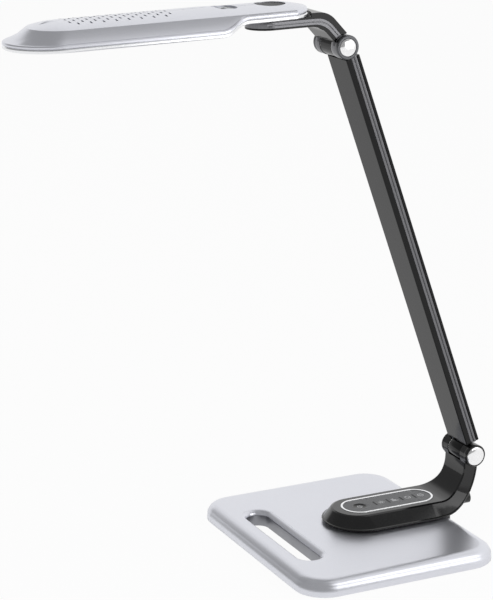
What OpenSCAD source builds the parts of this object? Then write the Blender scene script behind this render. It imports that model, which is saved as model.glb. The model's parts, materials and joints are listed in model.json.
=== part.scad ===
// Folding LED desk lamp: slotted base plate, swivelling foot with touch
// controls, two-axis arm and a slim head that turns on its bracket.
// Millimetres. +Z is up, the head reaches towards -Y, X = 0 is the plane of
// symmetry, and the origin is the centre of the base on the table.

/* [Base] */
// Width of the base, side to side
base_w = 217; // [200:1:240]
// Depth of the base, front to back
base_d = 184; // [178:1:210]
// Height of the base's top over the table
base_h = 15; // [14:0.5:18]
// Radius of the base's corners in plan
base_corner_r = 27; // [22:1:34]
// Wall of the base cover
base_wall = 2; // [1.6:0.1:2.4]
// Height of the upright side wall, up to the crease
base_side_h = 8.5; // [7.5:0.5:9.5]
// How far the soft shoulder runs in from the crease
base_shoulder = 11; // [8:0.5:14]
// Gap between the base cover and the table
base_skirt_gap = 1.2; // [1:0.1:1.4]
// Thickness of the steel ballast plate
weight_t = 6; // [4:0.5:6]
// Diameter of a rubber foot
pad_d = 15; // [10:1:18]

/* [Slot in the base] */
// Length of the slot's opening
slot_len = 116; // [90:1:130]
// Width of the slot's opening
slot_w = 20; // [16:1:26]
// Distance of the slot's centre in front of the base's centre
slot_off = 61; // [58:1:64]
// Radius of the rolled edge round the slot
slot_roll = 4.8; // [3:0.2:6]

/* [Foot and neck] */
// Distance of the swivel behind the base's centre
swivel_y = 60; // [56:1:64]
// Height of the foot's underside
foot_z = 17.3; // [17:0.1:18]
// Thickness of the foot
foot_t = 10.8; // [10.4:0.1:12]
// Half width of the foot at its underside
foot_half_low = 34; // [32:1:38]
// Half width of the foot at its top face
foot_half_top = 22.4; // [21:0.1:24]
// Distance of the nose's centre behind the base's centre, at the underside
nose_y = 14; // [10:1:20]
// How far the nose's centre lies further forward at the top face
nose_lean = 3.5; // [2:0.5:5]
// Wall of the foot housing
foot_wall = 2.2; // [1.8:0.1:2.6]
// Thickness of the neck
neck_t = 13.5; // [13:0.1:14.5]
// Half width of the neck below the lower hinge
neck_half = 17; // [17:0.1:18]
// Inner radius of the bend from foot to neck
bend_r = 24.7; // [22:0.5:28]
// Distance of the bend's centre behind the base's centre
bend_y = 83.8; // [82:0.2:86]
// Half width of the plinth under the foot
plinth_half = 26; // [22:1:28]

/* [Touch panel] */
// Length of the bright ring round the touch panel
ring_len = 88; // [80:1:90]
// Width of the bright ring round the touch panel
ring_w = 32; // [28:1:34]
// Width of the ring's own band
ring_band = 2; // [1.5:0.1:3]
// Radius of the round power pad
power_r = 6.4; // [5:0.2:7]

/* [Power inlet] */
// Distance of the inlet from the plane of symmetry
inlet_x = 10; // [8:0.5:11]
// Height of the inlet's centre
inlet_z = 23; // [22.5:0.1:23.5]
// Radius of the inlet's mouth
inlet_r = 2.9; // [2.6:0.1:3.1]
// Depth of the inlet's mouth, in front of its contact pin
inlet_mouth = 4.5; // [4:0.5:5]

/* [Hinges] */
// Distance between the two hinge axes
arm_len = 391; // [340:1:420]
// Forward lean of the arm at rest, degrees
arm_lean = 19.8; // [15:0.1:22]
// Outer radius of a hinge barrel
barrel_r = 10; // [9.6:0.1:10.4]
// Half width of the middle knuckle
knuckle_half = 9; // [8:0.5:9.5]
// Thickness of a friction washer
washer_t = 0.9; // [0.7:0.1:1]
// Radius of a hinge axle
axle_r = 3; // [2.5:0.1:3.5]
// How far a hinge cap stands out from the barrel
cap_out = 5.6; // [5:0.2:7]
// Radius of the bright dome in a lower cap
dome_low_r = 8.6; // [7.5:0.1:8.8]
// Radius of the bright dome in an upper cap
dome_up_r = 7.4; // [6.5:0.1:8.5]

/* [Arm] */
// Half width of the arm
arm_half = 16.5; // [15:0.1:16.8]
// Distance of the arm's front face before the hinge axes
arm_front = 3; // [2.5:0.1:4]
// Distance of the arm's back face behind the hinge axes
arm_back = 10; // [9.6:0.1:11]
// How far the front cover wraps round the arm's sides
front_wrap = 4.5; // [4:0.1:5]
// Thickness of the back cover
back_t = 2.5; // [2:0.1:3]
// Wall of the front cover
arm_wall = 2; // [1.6:0.1:2.2]
// Width of the core's side rails
rail_w = 3; // [2.5:0.1:3.4]
// Length of a knuckle's tongue in the arm
tongue_len = 30; // [24:1:40]
// Radius of the lead inside the arm
lead_r = 1.8; // [1.2:0.1:2]

/* [Bracket] */
// How far the bracket and the head dip towards the nose, degrees
nose_dip = 1.2; // [0:0.2:2]
// Height of the bracket's flat top over the upper hinge
bracket_rise = 29.6; // [29:0.1:30.5]
// Slope of the bracket above the hinge, degrees
bracket_slope = 48.2; // [45.2:1:51.2]
// Distance of the sloping top from the hinge's axis
bracket_off = 8.5; // [8:0.1:9]
// Thickness of the bracket's outer cover
hump_t = 4.7; // [4.2:0.1:5]
// Thickness of the bracket's core
core_t = 4.8; // [4.4:0.1:5.2]
// Thickness of the bracket's inner cover at its flat part
inner_t = 1.5; // [1.4:0.1:1.8]
// Thickness of the bracket's inner cover at its slope
inner_slope_t = 3.2; // [2.8:0.1:3.6]
// Distance of the head's swivel in front of the upper hinge
head_pivot_off = 59.2; // [58:0.1:62]
// How far the bracket's tip reaches past the head's swivel
bracket_tip = 20.5; // [19:0.5:24]
// Radius of the head's pivot stud
stud_r = 4; // [3:0.5:5]

/* [Head] */
// Length from the head's swivel to the tip of its nose
head_reach = 222; // [200:1:240]
// Half width of the head at its rim
head_half = 36; // [32:0.5:40]
// Half width of the head at the crease
crease_half = 27; // [26:0.5:29]
// How far the crease's nose lies behind the rim's nose
crease_back = 19; // [12:1:24]
// Height of the lower frame of the rim
frame_h = 3; // [2.8:0.1:3.6]
// Height of the upper lip of the rim
lip_h = 2.8; // [2.6:0.1:3.4]
// Height of the crease over the underside of the head
crease_h = 15.1; // [14.6:0.1:16.6]
// Height of the crown over the crease, in the deep part
crown_h = 4.2; // [3.8:0.2:6]
// Height of the crown over the crease, at the tail
tail_crown = 3.2; // [3:0.1:3.8]
// Wall of the head cover
head_wall = 1.8; // [1.4:0.1:2]
// Radius of the tail's round end about the swivel
tail_r = 30; // [29:0.5:32]
// Distance from the swivel to where the deep part begins to rise
deep_from = 57; // [54:1:60]
// Length of the rise from the deep part to the tail
rise_len = 26; // [20:1:30]
// Rows of air slots across the crown
vent_rows = 7; // [3:1:7]
// Distance between the rows
vent_row_gap = 4.9; // [4.6:0.1:5.2]
// Air slots in the middle row
vent_count = 9; // [6:1:9]
// Distance between the air slots of a row
vent_pitch = 10.3; // [9:0.1:10.5]
// Length of an air slot
vent_len = 4.6; // [4:0.1:5]
// Width of an air slot
vent_w = 1.5; // [1.2:0.1:1.8]
// Emitters in a row along the head
led_count = 18; // [10:1:24]

/* [Fits] */
// Gap between fixed pieces that slip together
slip = 0.15; // [0.1:0.05:0.25]
// Radial gap of a turning fit
run_gap = 0.05; // [0.02:0.01:0.08]
// Gap between faces that turn past each other
turn_gap = 0.3; // [0.2:0.05:0.4]
// Gap between the arm's square ends and a hinge barrel
end_gap = 0.8; // [0.6:0.1:1.2]

/* [Hidden] */
$fn = 48;
past = 1; // how far a cutting tool runs past the face it cuts

// Colours
silver = [0.79, 0.80, 0.84];
bright = [0.90, 0.91, 0.93];
gloss_black = [0.07, 0.07, 0.075];
dark_grey = [0.22, 0.22, 0.23];
steel = [0.62, 0.63, 0.65];
board_green = [0.10, 0.33, 0.20];
rubber_black = [0.05, 0.05, 0.05];
milk_white = [0.96, 0.96, 0.94];

// Base
tray_t = 2;
tray_z = base_skirt_gap + 0.4;
weight_z = tray_z + tray_t + slip;
weight_top = weight_z + weight_t;
slot_y = -slot_off;
shoulder_rise = base_h - base_side_h - 0.6;
boss_r = 4;
boss_in = 21;
screw_r = 1.5;
small_screw_r = 1.2;
small_head_r = 2.6;
pilot_r = 1.22;
screw_head_r = 3;
screw_head_t = 1.4;
corner_steps = 8;

// Plinth and swivel
plinth_front = 28;
plinth_back = base_d / 2 - 0.3;
plinth_top = foot_z - turn_gap;
swivel_r = 4;
swivel_washer_r = 19;
swivel_nut_r = 8;

// Foot and neck
foot_top = foot_z + foot_t;
bend_out = bend_r + neck_t;
bend_z = foot_z + bend_out;
cavity_share = 0.84;
cavity_top = mix(foot_z, foot_top, cavity_share);
foot_boss_x = 20;
floor_t = 2;
floor_back = bend_y - 4;
neck_lead = 7;
neck_taper = 12;
neck_top = bend_z + 3;
cover_from = 52;
lead_in = 4;
lead_way = 5.3;
cover_in = 9;

// Touch panel
panel_mid = nose_y + 26.7;
panel_t = 0.9;
dish_sink = 0.5;
power_dish = (power_r * power_r + dish_sink * dish_sink) / (2 * dish_sink);
power_y = panel_mid - ring_len / 2 + ring_w / 2 + 3;
ring_t = 1;
board_t = 1.2;

// Inlet
inlet_face = bend_y + 33;
inlet_boss_r = 5.4;
inlet_body_r = 4.1;
inlet_body_len = 14;
pin_r = 0.9;

// Hinges
low_y = bend_y + bend_r + barrel_r - 1.4;
low_z = neck_top + 5.6;
up_y = low_y - arm_len * sin(arm_lean);
up_z = low_z + arm_len * cos(arm_lean);
ear_in = knuckle_half + 0.1 + washer_t;
ear_out = neck_half;
knuckle_r = barrel_r - 0.4;
barrel_gap = 0.5;
arm_end = barrel_r + end_gap;
cup_in = 1.5;
cup_t = 4;

// Arm section, measured across the arm from the hinge axes, + is backwards
core_front = front_wrap - arm_front;
core_back = arm_back - back_t;
web_t = 2;
web_front = core_back - web_t;
ridge_depth = 1;
arm_round = 1.2;
arm_screw_d = [8, 22]; // from the tongue's root
arm_head_sink = 1.3;

// Bracket
bracket_top = up_z + bracket_rise;
core_top = bracket_top - hump_t;
bracket_low = core_top - core_t - inner_t;
bracket_from = 7.4;
bracket_bend = 9;
stud_flange = 1.3;
stud_flange_r = stud_r + 2.5;
stud_washer_r = stud_r + 5;
stud_nut_r = stud_r + 3;
stud_z = core_top - core_t - stud_flange;
head_y = up_y - head_pivot_off;
tip_y = head_y - bracket_tip;
bracket_half = arm_half;

// Head
head_z = core_top - 5.2;
tail_lift = 7.7;
seat_gap = 0.9; // between the bracket's cover and the tail that turns over it
seat_z = head_z + tail_lift - seat_gap;
frame_top = head_z + frame_h;
lip_top = frame_top + lip_h;
crease_z = head_z + crease_h;
crown_z = crease_z + crown_h;
tail_top = crease_z + tail_crown;
nose_tip = head_y - head_reach;
rise_from = head_y - deep_from;
tail_half = crease_half + 1;
seat_r = norm([tail_half, bracket_half]) + 0.5;
rim_step = 2.2;
ledge_w = 1.7;
ledge_t = 0.8;
plate_t = 2;
plate_z = head_z + tail_lift + ledge_t;
nut_z = plate_z + plate_t + 0.1;
nut_t = 2.6;
diffuser_t = 2;
nose_steps = 9;
rise_steps = 8;
end_steps = 6;
cap_disc_r = 12.5;
cap_disc_t = 1.9;
cap_disc_z = tail_top - 3.2;
cap_socket_z = tail_top - 4.6;
cap_disc_y = head_y;
badge_y = head_y - 40;
badge_len = 18;
badge_w = 20;
badge_r = 5;
badge_z = tail_top - 2.4;
badge_dome_r = 4;
vent_start = nose_tip + 49;
post_x = 8;
post_r = 2.2;
post_front = vent_start - 9.5;
post_back = vent_start + vent_count * vent_pitch + 2.5;
board_half = 12;
board_front = nose_tip + 14;
board_back = rise_from - 8;
board_z = crease_z - 7;
sink_z = board_z + board_t;
sink_t = 1;
fin_t = 1;
fin_h = 3.4;
fin_x = [-11, -3.6, 0, 3.6, 11];

// ---------------------------------------------------------------- shapes

function mix(a, b, t) = a + (b - a) * t;
function turned(list) = [for (i = [len(list) - 1:-1:0]) list[i]];
function ease(t) = t <= 0 ? 0 : t >= 1 ? 1 : (1 - cos(180 * t)) / 2;
function curve(a, b, c, n) = [for (i = [0:n]) let (t = i / n)
    (1 - t) * (1 - t) * a + 2 * t * (1 - t) * b + t * t * c];

// Skin of triangles over a list of rings with the same number of points
function skin(count, rings, loop) = [for (j = [0:rings - (loop ? 1 : 2)]) for (i = [0:count - 1])
    let (k = (i + 1) % count, up = ((j + 1) % rings) * count)
    for (half = [0, 1]) half == 0
        ? [j * count + i, up + k, j * count + k]
        : [j * count + i, up + i, up + k]];

// Solid through open-ended rings, with its first and last ring closed: a flat
// ring by one face, a ring of mirrored halves by a ladder across it
module loft(rings, ladder = false) {
    count = len(rings[0]);
    last = (len(rings) - 1) * count;
    low = ladder ? [for (i = [0:count / 2 - 2]) [i, i + 1, count - 2 - i, count - 1 - i]]
                 : [[for (i = [0:count - 1]) i]];
    polyhedron([for (r = rings) each r], concat(
        skin(count, len(rings), false), low, [for (f = low) [for (v = turned(f)) last + v]]), convexity = 6);
}

// Closed loop of rings, such as a frame
module loft_loop(rings) {
    polyhedron([for (r = rings) each r], skin(len(rings[0]), len(rings), true), convexity = 6);
}

// Stadium: a bar with round ends along X, exact in every kernel
module stadium(length, width) {
    square([length - width, width], center = true);
    for (s = [-1, 1]) translate([s * (length - width) / 2, 0]) circle(d = width);
}

module rounded_rect(w, d, r) {
    square([w - 2 * r, d], center = true);
    square([w, d - 2 * r], center = true);
    for (x = [-1, 1], y = [-1, 1]) translate([x * (w / 2 - r), y * (d / 2 - r)]) circle(r);
}

module along_x(x0, x1) {
    translate([x0, 0, 0]) rotate([90, 0, 90]) linear_extrude(x1 - x0) children();
}

module both_sides() {
    children();
    mirror([1, 0, 0]) children();
}

// ------------------------------------------------------------------ base

// One ring round the base, set in from its outline
function base_ring(inset, z) = let (r = base_corner_r - inset) [
    for (q = [0:3]) for (i = [0:corner_steps])
    let (a = 90 * q + 90 * i / corner_steps,
         sx = q == 0 || q == 3 ? 1 : -1, sy = q < 2 ? 1 : -1)
    [sx * (base_w / 2 - base_corner_r) + r * cos(a), sy * (base_d / 2 - base_corner_r) + r * sin(a), z]];

// Rings from the skirt over the crease and the soft shoulder to the flat top
function base_skin(in) = concat(
    in == 0 ? [base_ring(0.8, base_skirt_gap), base_ring(0, base_skirt_gap + 1)]
            : [base_ring(in, base_skirt_gap)],
    [base_ring(in + 0.4, base_side_h - 0.2 - in * 0.3), base_ring(in + 1.3, base_side_h + 0.6 - in * 0.6)],
    [for (i = [1:6]) let (a = 15 * i)
        base_ring(in + 1.3 + (base_shoulder - 1.3 - in * 0.3) * (1 - cos(a)),
                  base_side_h + 0.6 + shoulder_rise * sin(a) - in * (0.6 + 0.4 * sin(a)))]);

module slot_hole(grow, z0, z1) {
    translate([0, slot_y, z0]) linear_extrude(z1 - z0)
        stadium(slot_len + 2 * grow, slot_w + 2 * grow);
}

// A profile carried once round the slot: straight sides and half-turn ends
module round_the_slot() {
    for (s = [-1, 1]) translate([s * (slot_len - slot_w) / 2, slot_y, 0])
        rotate([0, 0, s * 90 + 180]) rotate_extrude(angle = 180) children();
    for (s = [0, 1]) translate([0, slot_y, 0]) rotate([0, 0, 180 * s])
        translate([-(slot_len - slot_w) / 2, 0, 0]) along_x(0, slot_len - slot_w) children();
}

// Rolled edge and wall of the slot, from the top down to the tray's underside
module slot_collar() {
    round_the_slot() polygon(concat(
        [for (i = [0:6]) let (a = 15 * i)
            [slot_w / 2 + slot_roll * (1 - cos(a)), base_h - slot_roll + slot_roll * sin(a)]],
        [[slot_w / 2 + slot_roll, base_h - base_wall],
         [slot_w / 2 + base_wall, base_h - slot_roll - base_wall],
         [slot_w / 2 + base_wall, tray_z], [slot_w / 2, tray_z]]));
}

module screw_places() {
    for (x = [-1, 1], y = [-1, 1])
        translate([x * (base_w / 2 - boss_in), y * (base_d / 2 - boss_in), 0]) children();
}

module base_cover() color(silver) {
    difference() {
        union() {
            difference() {
                loft(concat(turned(base_skin(base_wall)), base_skin(0)));
                slot_hole(slot_roll - 0.4, base_side_h, base_h + past);
                // Notch for the plinth, open to the back
                translate([-plinth_half - slip, plinth_front - slip, base_side_h + 0.2])
                    cube([2 * (plinth_half + slip), base_d, base_h]);
            }
            slot_collar();
            screw_places() translate([0, 0, tray_z + tray_t])
                cylinder(r = boss_r, h = base_h - base_wall - tray_z - tray_t + 0.5);
        }
        screw_places() translate([0, 0, -past]) cylinder(r = screw_r, h = base_h - base_wall);
    }
}

module base_tray() color(dark_grey) {
    difference() {
        translate([0, 0, tray_z]) linear_extrude(tray_t)
            rounded_rect(base_w - 2 * (base_wall + slip), base_d - 2 * (base_wall + slip),
                         base_corner_r - base_wall - slip);
        slot_hole(base_wall + slip, tray_z - past, tray_z + tray_t + past);
        screw_places() {
            translate([0, 0, tray_z - past]) cylinder(r = screw_r + slip, h = tray_t + 2 * past);
            translate([0, 0, tray_z - past]) cylinder(r = screw_head_r + slip, h = past + screw_head_t);
        }
    }
}

module base_weight() color(steel) {
    difference() {
        translate([0, 0, weight_z]) linear_extrude(weight_t)
            rounded_rect(base_w - 2 * (base_shoulder + 5), base_d - 2 * (base_shoulder + 1), 12);
        slot_hole(base_wall + 2, weight_z - past, weight_top + past);
        screw_places() translate([0, 0, weight_z - past]) cylinder(r = boss_r + 1.2, h = weight_t + 2 * past);
        translate([0, swivel_y, weight_z - past]) cylinder(r = swivel_nut_r + 2, h = weight_t + 2 * past);
    }
}

module base_pads() color(rubber_black) {
    for (x = [-1, 1], y = [-1, 1])
        translate([x * (base_w / 2 - 38), y * (base_d / 2 - 14), 0]) cylinder(d = pad_d, h = tray_z);
    cylinder(d = pad_d, h = tray_z);
}

module base_screws() color(steel) {
    screw_places() {
        translate([0, 0, tray_z + 0.1]) cylinder(r = screw_head_r, h = screw_head_t - 0.1);
        translate([0, 0, tray_z + screw_head_t - 0.1]) cylinder(r = screw_r - 0.02, h = 6.5);
    }
}

// Black riser between the base and the turning foot, stepped over the rear wall
module plinth() color(gloss_black) {
    difference() {
        union() {
            translate([0, (plinth_front + plinth_back) / 2, base_side_h + 0.35])
                linear_extrude(plinth_top - base_side_h - 0.35)
                rounded_rect(2 * plinth_half, plinth_back - plinth_front, 5);
        }
        // Room for the ballast plate under the plinth
        translate([-plinth_half - past, plinth_front - past, 0])
            cube([2 * (plinth_half + past), base_d / 2 - base_shoulder - plinth_front + past, weight_top]);
        translate([0, swivel_y, 0]) cylinder(r = swivel_r + 0.02, h = base_h * 2);
    }
}

module swivel_stud() color(steel) {
    translate([0, swivel_y, weight_top - 3]) cylinder(r = swivel_nut_r, h = 3);
    translate([0, swivel_y, weight_top - 0.1]) cylinder(r = swivel_r, h = foot_z + floor_t + 4.7 - weight_top);
}

module swivel_washer() color(milk_white) {
    translate([0, swivel_y, plinth_top]) difference() {
        cylinder(r = swivel_washer_r, h = turn_gap - 0.05);
        translate([0, 0, -past]) cylinder(r = swivel_r + slip, h = 2 * past + turn_gap);
    }
}

module swivel_nut() color(steel) {
    translate([0, swivel_y, foot_z + floor_t + 0.1]) difference() {
        cylinder(r = swivel_nut_r, h = 4);
        translate([0, 0, -past]) cylinder(r = swivel_r + 0.02, h = 4 + 2 * past);
    }
}

// ------------------------------------------------------------------ foot

// Half section of the foot: share of the height, and how far in from its slope
foot_edge = [[0, 1.0], [0.05, 0.1], [0.11, 0.1], [0.14, 0.9], [0.93, 0.3], [1, 1.5]];

// A ring of the foot: down its right side, across and up its left side
function foot_section(low, high, half_low, half_top, edge) = mirrored_ring(
    [for (e = edge) let (p = mix(low, high, e[0]))
        [mix(half_low, half_top, e[0]) - e[1], p[0], p[1]]]);
function mirrored_ring(row) = concat(turned(row), [for (p = row) [-p[0], p[1], p[2]]]);

// Rings round the nose: a cone between the low and the top outline
function nose_rings(edge, in) = [for (i = [0:nose_steps])
    let (a = -88.5 + 88.5 * i / nose_steps)
    mirrored_ring([for (e = edge) let (r = mix(foot_half_low, foot_half_top, e[0]) - e[1] - in)
        [r * cos(a), nose_y - nose_lean * e[0] + r * sin(a), mix(foot_z, foot_top, e[0])]])];

// Rings of the bend, turned about the bend's centre
function bend_rings() = [for (a = [0:7.5:90])
    let (low = [bend_y + bend_out * sin(a), bend_z - bend_out * cos(a)],
         high = [bend_y + bend_r * sin(a), bend_z - (bend_z - foot_top) * cos(a)],
         t = (a * 0.54 + neck_taper) / (82 * 0.54 + neck_taper))
    foot_section(low, high, mix(foot_half_low, neck_half, ease(t)),
                 mix(foot_half_top, neck_half, ease(a / 60)), foot_edge)];

module foot_body() {
    loft(concat(
        nose_rings(foot_edge, 0),
        [foot_section([bend_y - neck_taper, foot_z], [bend_y - neck_taper, foot_top],
                      foot_half_low, foot_half_top, foot_edge)],
        bend_rings(),
        [foot_section([bend_y + bend_out, neck_top], [bend_y + bend_r, neck_top],
                      neck_half, neck_half, foot_edge)]), ladder = true);
}

// Inside of the foot: from below the underside up to the roof
cavity_edge = [[-0.1, 0], [cavity_share, 0]];
module foot_cavity() {
    loft(concat(nose_rings(cavity_edge, foot_wall),
        [foot_section([floor_back, foot_z], [floor_back, foot_top],
                      foot_half_low - foot_wall, foot_half_top - foot_wall, cavity_edge)]), ladder = true);
}

module hinge_cylinder(y, z, x0, x1, r) {
    translate([x0, y, z]) rotate([0, 90, 0]) cylinder(r = r, h = x1 - x0);
}

module panel_shape(in, z0, z1) {
    translate([0, panel_mid, z0]) linear_extrude(z1 - z0) rotate(90)
        stadium(ring_len - 2 * in, ring_w - 2 * in);
}

module foot_screw_places() {
    for (x = [-1, 1], y = [nose_y + 4, floor_back - 6]) translate([x * foot_boss_x, y, 0]) children();
}

module foot_housing() color(gloss_black) {
    difference() {
        union() {
            difference() {
                foot_body();
                foot_cavity();
            }
            foot_screw_places() translate([0, 0, foot_z + floor_t + slip])
                cylinder(r = 3, h = cavity_top + 0.3 - foot_z - floor_t - slip);
            both_sides() hinge_cylinder(low_y, low_z, ear_in, ear_out, barrel_r);
            // Cheeks that carry the ears up from the neck
            both_sides() along_x(ear_in, ear_out) polygon([
                [bend_y + bend_r + 0.1, neck_top - past], [bend_y + bend_out - 0.1, neck_top - past],
                [low_y + barrel_r - 1.4, low_z - 3], [low_y, low_z], [low_y - barrel_r + 0.1, low_z - 1]]);
            // Boss round the power inlet
            translate([inlet_x, bend_y + 6, inlet_z]) rotate([-90, 0, 0])
                cylinder(r = inlet_boss_r, h = inlet_face - bend_y - 6);
        }
        // Seat of the knuckle between the ears
        hinge_cylinder(low_y, low_z, -ear_in, ear_in, barrel_r + barrel_gap);
        hinge_cylinder(low_y, low_z, -ear_out - past, ear_out + past, axle_r + 0.02);
        // Way of the lead up the neck, and the opening that the back cover closes
        round_the_bend(0, 90) translate([bend_r + lead_in, -neck_lead]) square([lead_way, 2 * neck_lead]);
        translate([-neck_lead, floor_back - past, bend_z - bend_r - lead_in - lead_way])
            cube([2 * neck_lead, bend_y - floor_back + past, lead_way]);
        translate([-neck_lead, bend_y + bend_r + lead_in, bend_z])
            cube([2 * neck_lead, lead_way, low_z - bend_z]);
        neck_cover_space(0);
        // Bore of the power inlet
        translate([inlet_x, floor_back - 6, inlet_z]) rotate([-90, 0, 0])
            cylinder(r = inlet_body_r + 0.02, h = inlet_face);
        // Seat of the touch panel and its ring
        panel_shape(0, foot_top - ring_t, foot_top + past);
        panel_shape(ring_band + 2, foot_top - foot_wall - past, foot_top);
        foot_screw_places() translate([0, 0, foot_z]) cylinder(r = screw_r, h = 7);
    }
}

// The plan below is the same outline that the housing's inside has
module floor_plan() {
    in = foot_wall + slip;
    r = foot_half_low - in;
    translate([0, nose_y]) circle(r, $fn = 72);
    translate([-r, nose_y]) square([2 * r, floor_back - slip - nose_y]);
}

module foot_floor() color(dark_grey) {
    difference() {
        translate([0, 0, foot_z]) intersection() {
            linear_extrude(floor_t) floor_plan();
            translate([0, 0, -foot_z - slip * 1.1]) foot_cavity();
        }
        translate([0, swivel_y, 0]) cylinder(r = swivel_r + run_gap, h = foot_top);
        foot_screw_places() {
            cylinder(r = screw_r + slip, h = foot_top);
            cylinder(r = screw_head_r + slip, h = foot_z + screw_head_t);
        }
    }
}

module foot_screws() color(steel) {
    foot_screw_places() {
        translate([0, 0, foot_z + 0.1]) cylinder(r = screw_head_r, h = screw_head_t - 0.1);
        translate([0, 0, foot_z + screw_head_t - 0.1]) cylinder(r = screw_r - 0.02, h = 5);
    }
}

// Turns a profile about the bend's centre, from straight down towards the back
module round_the_bend(from, to) {
    translate([0, bend_y, bend_z]) rotate([0, 90, 0]) rotate([0, 0, from])
        rotate_extrude(angle = to - from, $fn = 96) children();
}

// Strip at the back of the neck, from the bend up to the neck's top
module neck_cover_space(in) {
    start = bend_r + cover_in + in;
    depth = bend_out - start + (in == 0 ? past : -in);
    half = ear_in - 0.6 - in;
    round_the_bend(cover_from + in, 90) translate([start, -half]) square([depth, 2 * half]);
    translate([-half, bend_y + start, bend_z]) cube([2 * half, depth, neck_top - bend_z - in]);
}

module neck_back_cover() color(gloss_black) {
    difference() {
        neck_cover_space(slip);
        hinge_cylinder(low_y, low_z, -ear_in, ear_in, barrel_r + barrel_gap);
    }
}

module touch_panel() color(dark_grey) {
    difference() {
        panel_shape(ring_band + slip, foot_top - ring_t, foot_top - ring_t + panel_t);
        // Dished power pad
        translate([0, power_y, foot_top - ring_t + panel_t + power_dish - dish_sink]) sphere(power_dish, $fn = 96);
    }
}

module panel_ring() color(bright) {
    difference() {
        panel_shape(slip, foot_top - ring_t, foot_top + 0.4);
        panel_shape(ring_band, foot_top - ring_t - past, foot_top + past);
    }
}

module control_board() color(board_green) {
    translate([-ring_w / 2 + 1, nose_y, foot_top - foot_wall - board_t - slip])
        cube([ring_w - 2, swivel_y - swivel_nut_r - 2 - nose_y, board_t]);
}

module dc_inlet() color(dark_grey) {
    translate([inlet_x, inlet_face - 0.2, inlet_z]) rotate([90, 0, 0]) {
        difference() {
            cylinder(r = inlet_body_r, h = inlet_body_len);
            translate([0, 0, -past]) cylinder(r = inlet_r, h = inlet_mouth + past);
            cylinder(r = inlet_r - 0.4, h = inlet_body_len - 2);
        }
        translate([0, 0, inlet_mouth + 0.3]) cylinder(r = pin_r, h = inlet_body_len - inlet_mouth - 1);
    }
}

// ---------------------------------------------------------------- hinges

// Everything on one hinge that turns with the ears: axle, washers and caps
module hinge_axle(y, z) color(steel) {
    hinge_cylinder(y, z, -ear_out - cup_in + 0.1, ear_out + cup_in - 0.1, axle_r);
}

module hinge_washers(y, z) color(milk_white) both_sides() difference() {
    hinge_cylinder(y, z, ear_in - washer_t, ear_in, knuckle_r - 0.4);
    hinge_cylinder(y, z, ear_in - washer_t - past, ear_in + past, axle_r + slip);
}

module hinge_cup(y, z, dome_r) both_sides() difference() {
    hinge_cylinder(y, z, ear_out, ear_out + cup_t, barrel_r);
    hinge_cylinder(y, z, ear_out - past, ear_out + cup_t, axle_r + slip);
    hinge_cylinder(y, z, ear_out + cup_in, ear_out + cup_t + past, dome_r + slip);
    // Soft outer edge of the cup
    translate([ear_out + cup_t - 0.8, y, z]) rotate([0, 90, 0]) difference() {
        cylinder(r = barrel_r + past, h = 2);
        translate([0, 0, -0.01]) cylinder(r1 = barrel_r, r2 = barrel_r - 2, h = 2.02);
    }
}

// Domed disc that sits in the cup
module hinge_dome(y, z, dome_r) both_sides() translate([ear_out, y, z]) rotate([0, 90, 0])
    rotate_extrude($fn = 96) polygon(concat([[0, cup_in + 0.05], [dome_r, cup_in + 0.05]],
        [for (i = [0:8]) let (a = 11.25 * i)
            [dome_r * cos(a), cup_t - 0.6 + (cap_out - cup_t + 0.6) * sin(a)]]));

module lower_axle() hinge_axle(low_y, low_z);
module lower_washers() hinge_washers(low_y, low_z);
module lower_cap_rings() color(gloss_black) hinge_cup(low_y, low_z, dome_low_r);
module lower_caps() color(bright) hinge_dome(low_y, low_z, dome_low_r);
module upper_axle() hinge_axle(up_y, up_z);
module upper_washers() hinge_washers(up_y, up_z);
module upper_cap_rings() color(steel) hinge_cup(up_y, up_z, dome_up_r);
module upper_caps() color(bright) hinge_dome(up_y, up_z, dome_up_r);

// ------------------------------------------------------------------- arm

// Places what is drawn along the arm: origin on the lower axis, Z up the arm
module on_arm() {
    translate([0, low_y, low_z]) rotate([arm_lean, 0, 0]) children();
}

module arm_bar() {
    on_arm() translate([0, 0, arm_end]) linear_extrude(arm_len - 2 * arm_end) children();
}

// Bar with two rounded corners, from one face of the arm to another
module soft_bar(half, face, root) {
    out = face > root ? 1 : -1;
    polygon(concat([[half, root]], corner(half - arm_round, face - out * arm_round, 0, 90 * out),
                   corner(arm_round - half, face - out * arm_round, 90 * out, 180 * out), [[-half, root]]));
}
function corner(x, y, from, to) = [for (i = [0:6]) let (a = mix(from, to, i / 6))
    [x + arm_round * cos(a), y + arm_round * sin(a)]];

module arm_front_cover() color(gloss_black) {
    arm_bar() difference() {
        soft_bar(arm_half, -arm_front, core_front);
        translate([-arm_half + arm_wall, -arm_front + arm_wall])
            square([2 * (arm_half - arm_wall), front_wrap + past]);
    }
}

// Extruded core: a web, two rails and two rounded ridges along each side
module arm_core() color(dark_grey) {
    ridge_r = (core_back - core_front) / 4;
    difference() {
        arm_bar() {
            translate([-arm_half + ridge_depth, web_front])
                square([2 * (arm_half - ridge_depth), web_t]);
            for (x = [-1, 1]) {
                translate([x * (arm_half - ridge_depth / 2 - rail_w / 2), (core_front + core_back) / 2])
                    square([rail_w - ridge_depth, core_back - core_front], center = true);
                for (k = [1, 3])
                    translate([x * (arm_half - ridge_r), core_front + k * ridge_r]) circle(ridge_r);
            }
        }
        arm_screw_places() {
            translate([0, web_front - past, 0]) rotate([-90, 0, 0]) cylinder(r = small_screw_r + slip, h = web_t + 2 * past);
            translate([0, core_back - arm_head_sink, 0]) rotate([-90, 0, 0])
                cylinder(r = small_head_r + slip, h = arm_head_sink + past);
        }
    }
}

module arm_back_cover() color(gloss_black) {
    arm_bar() soft_bar(arm_half, arm_back, core_back);
}

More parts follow.
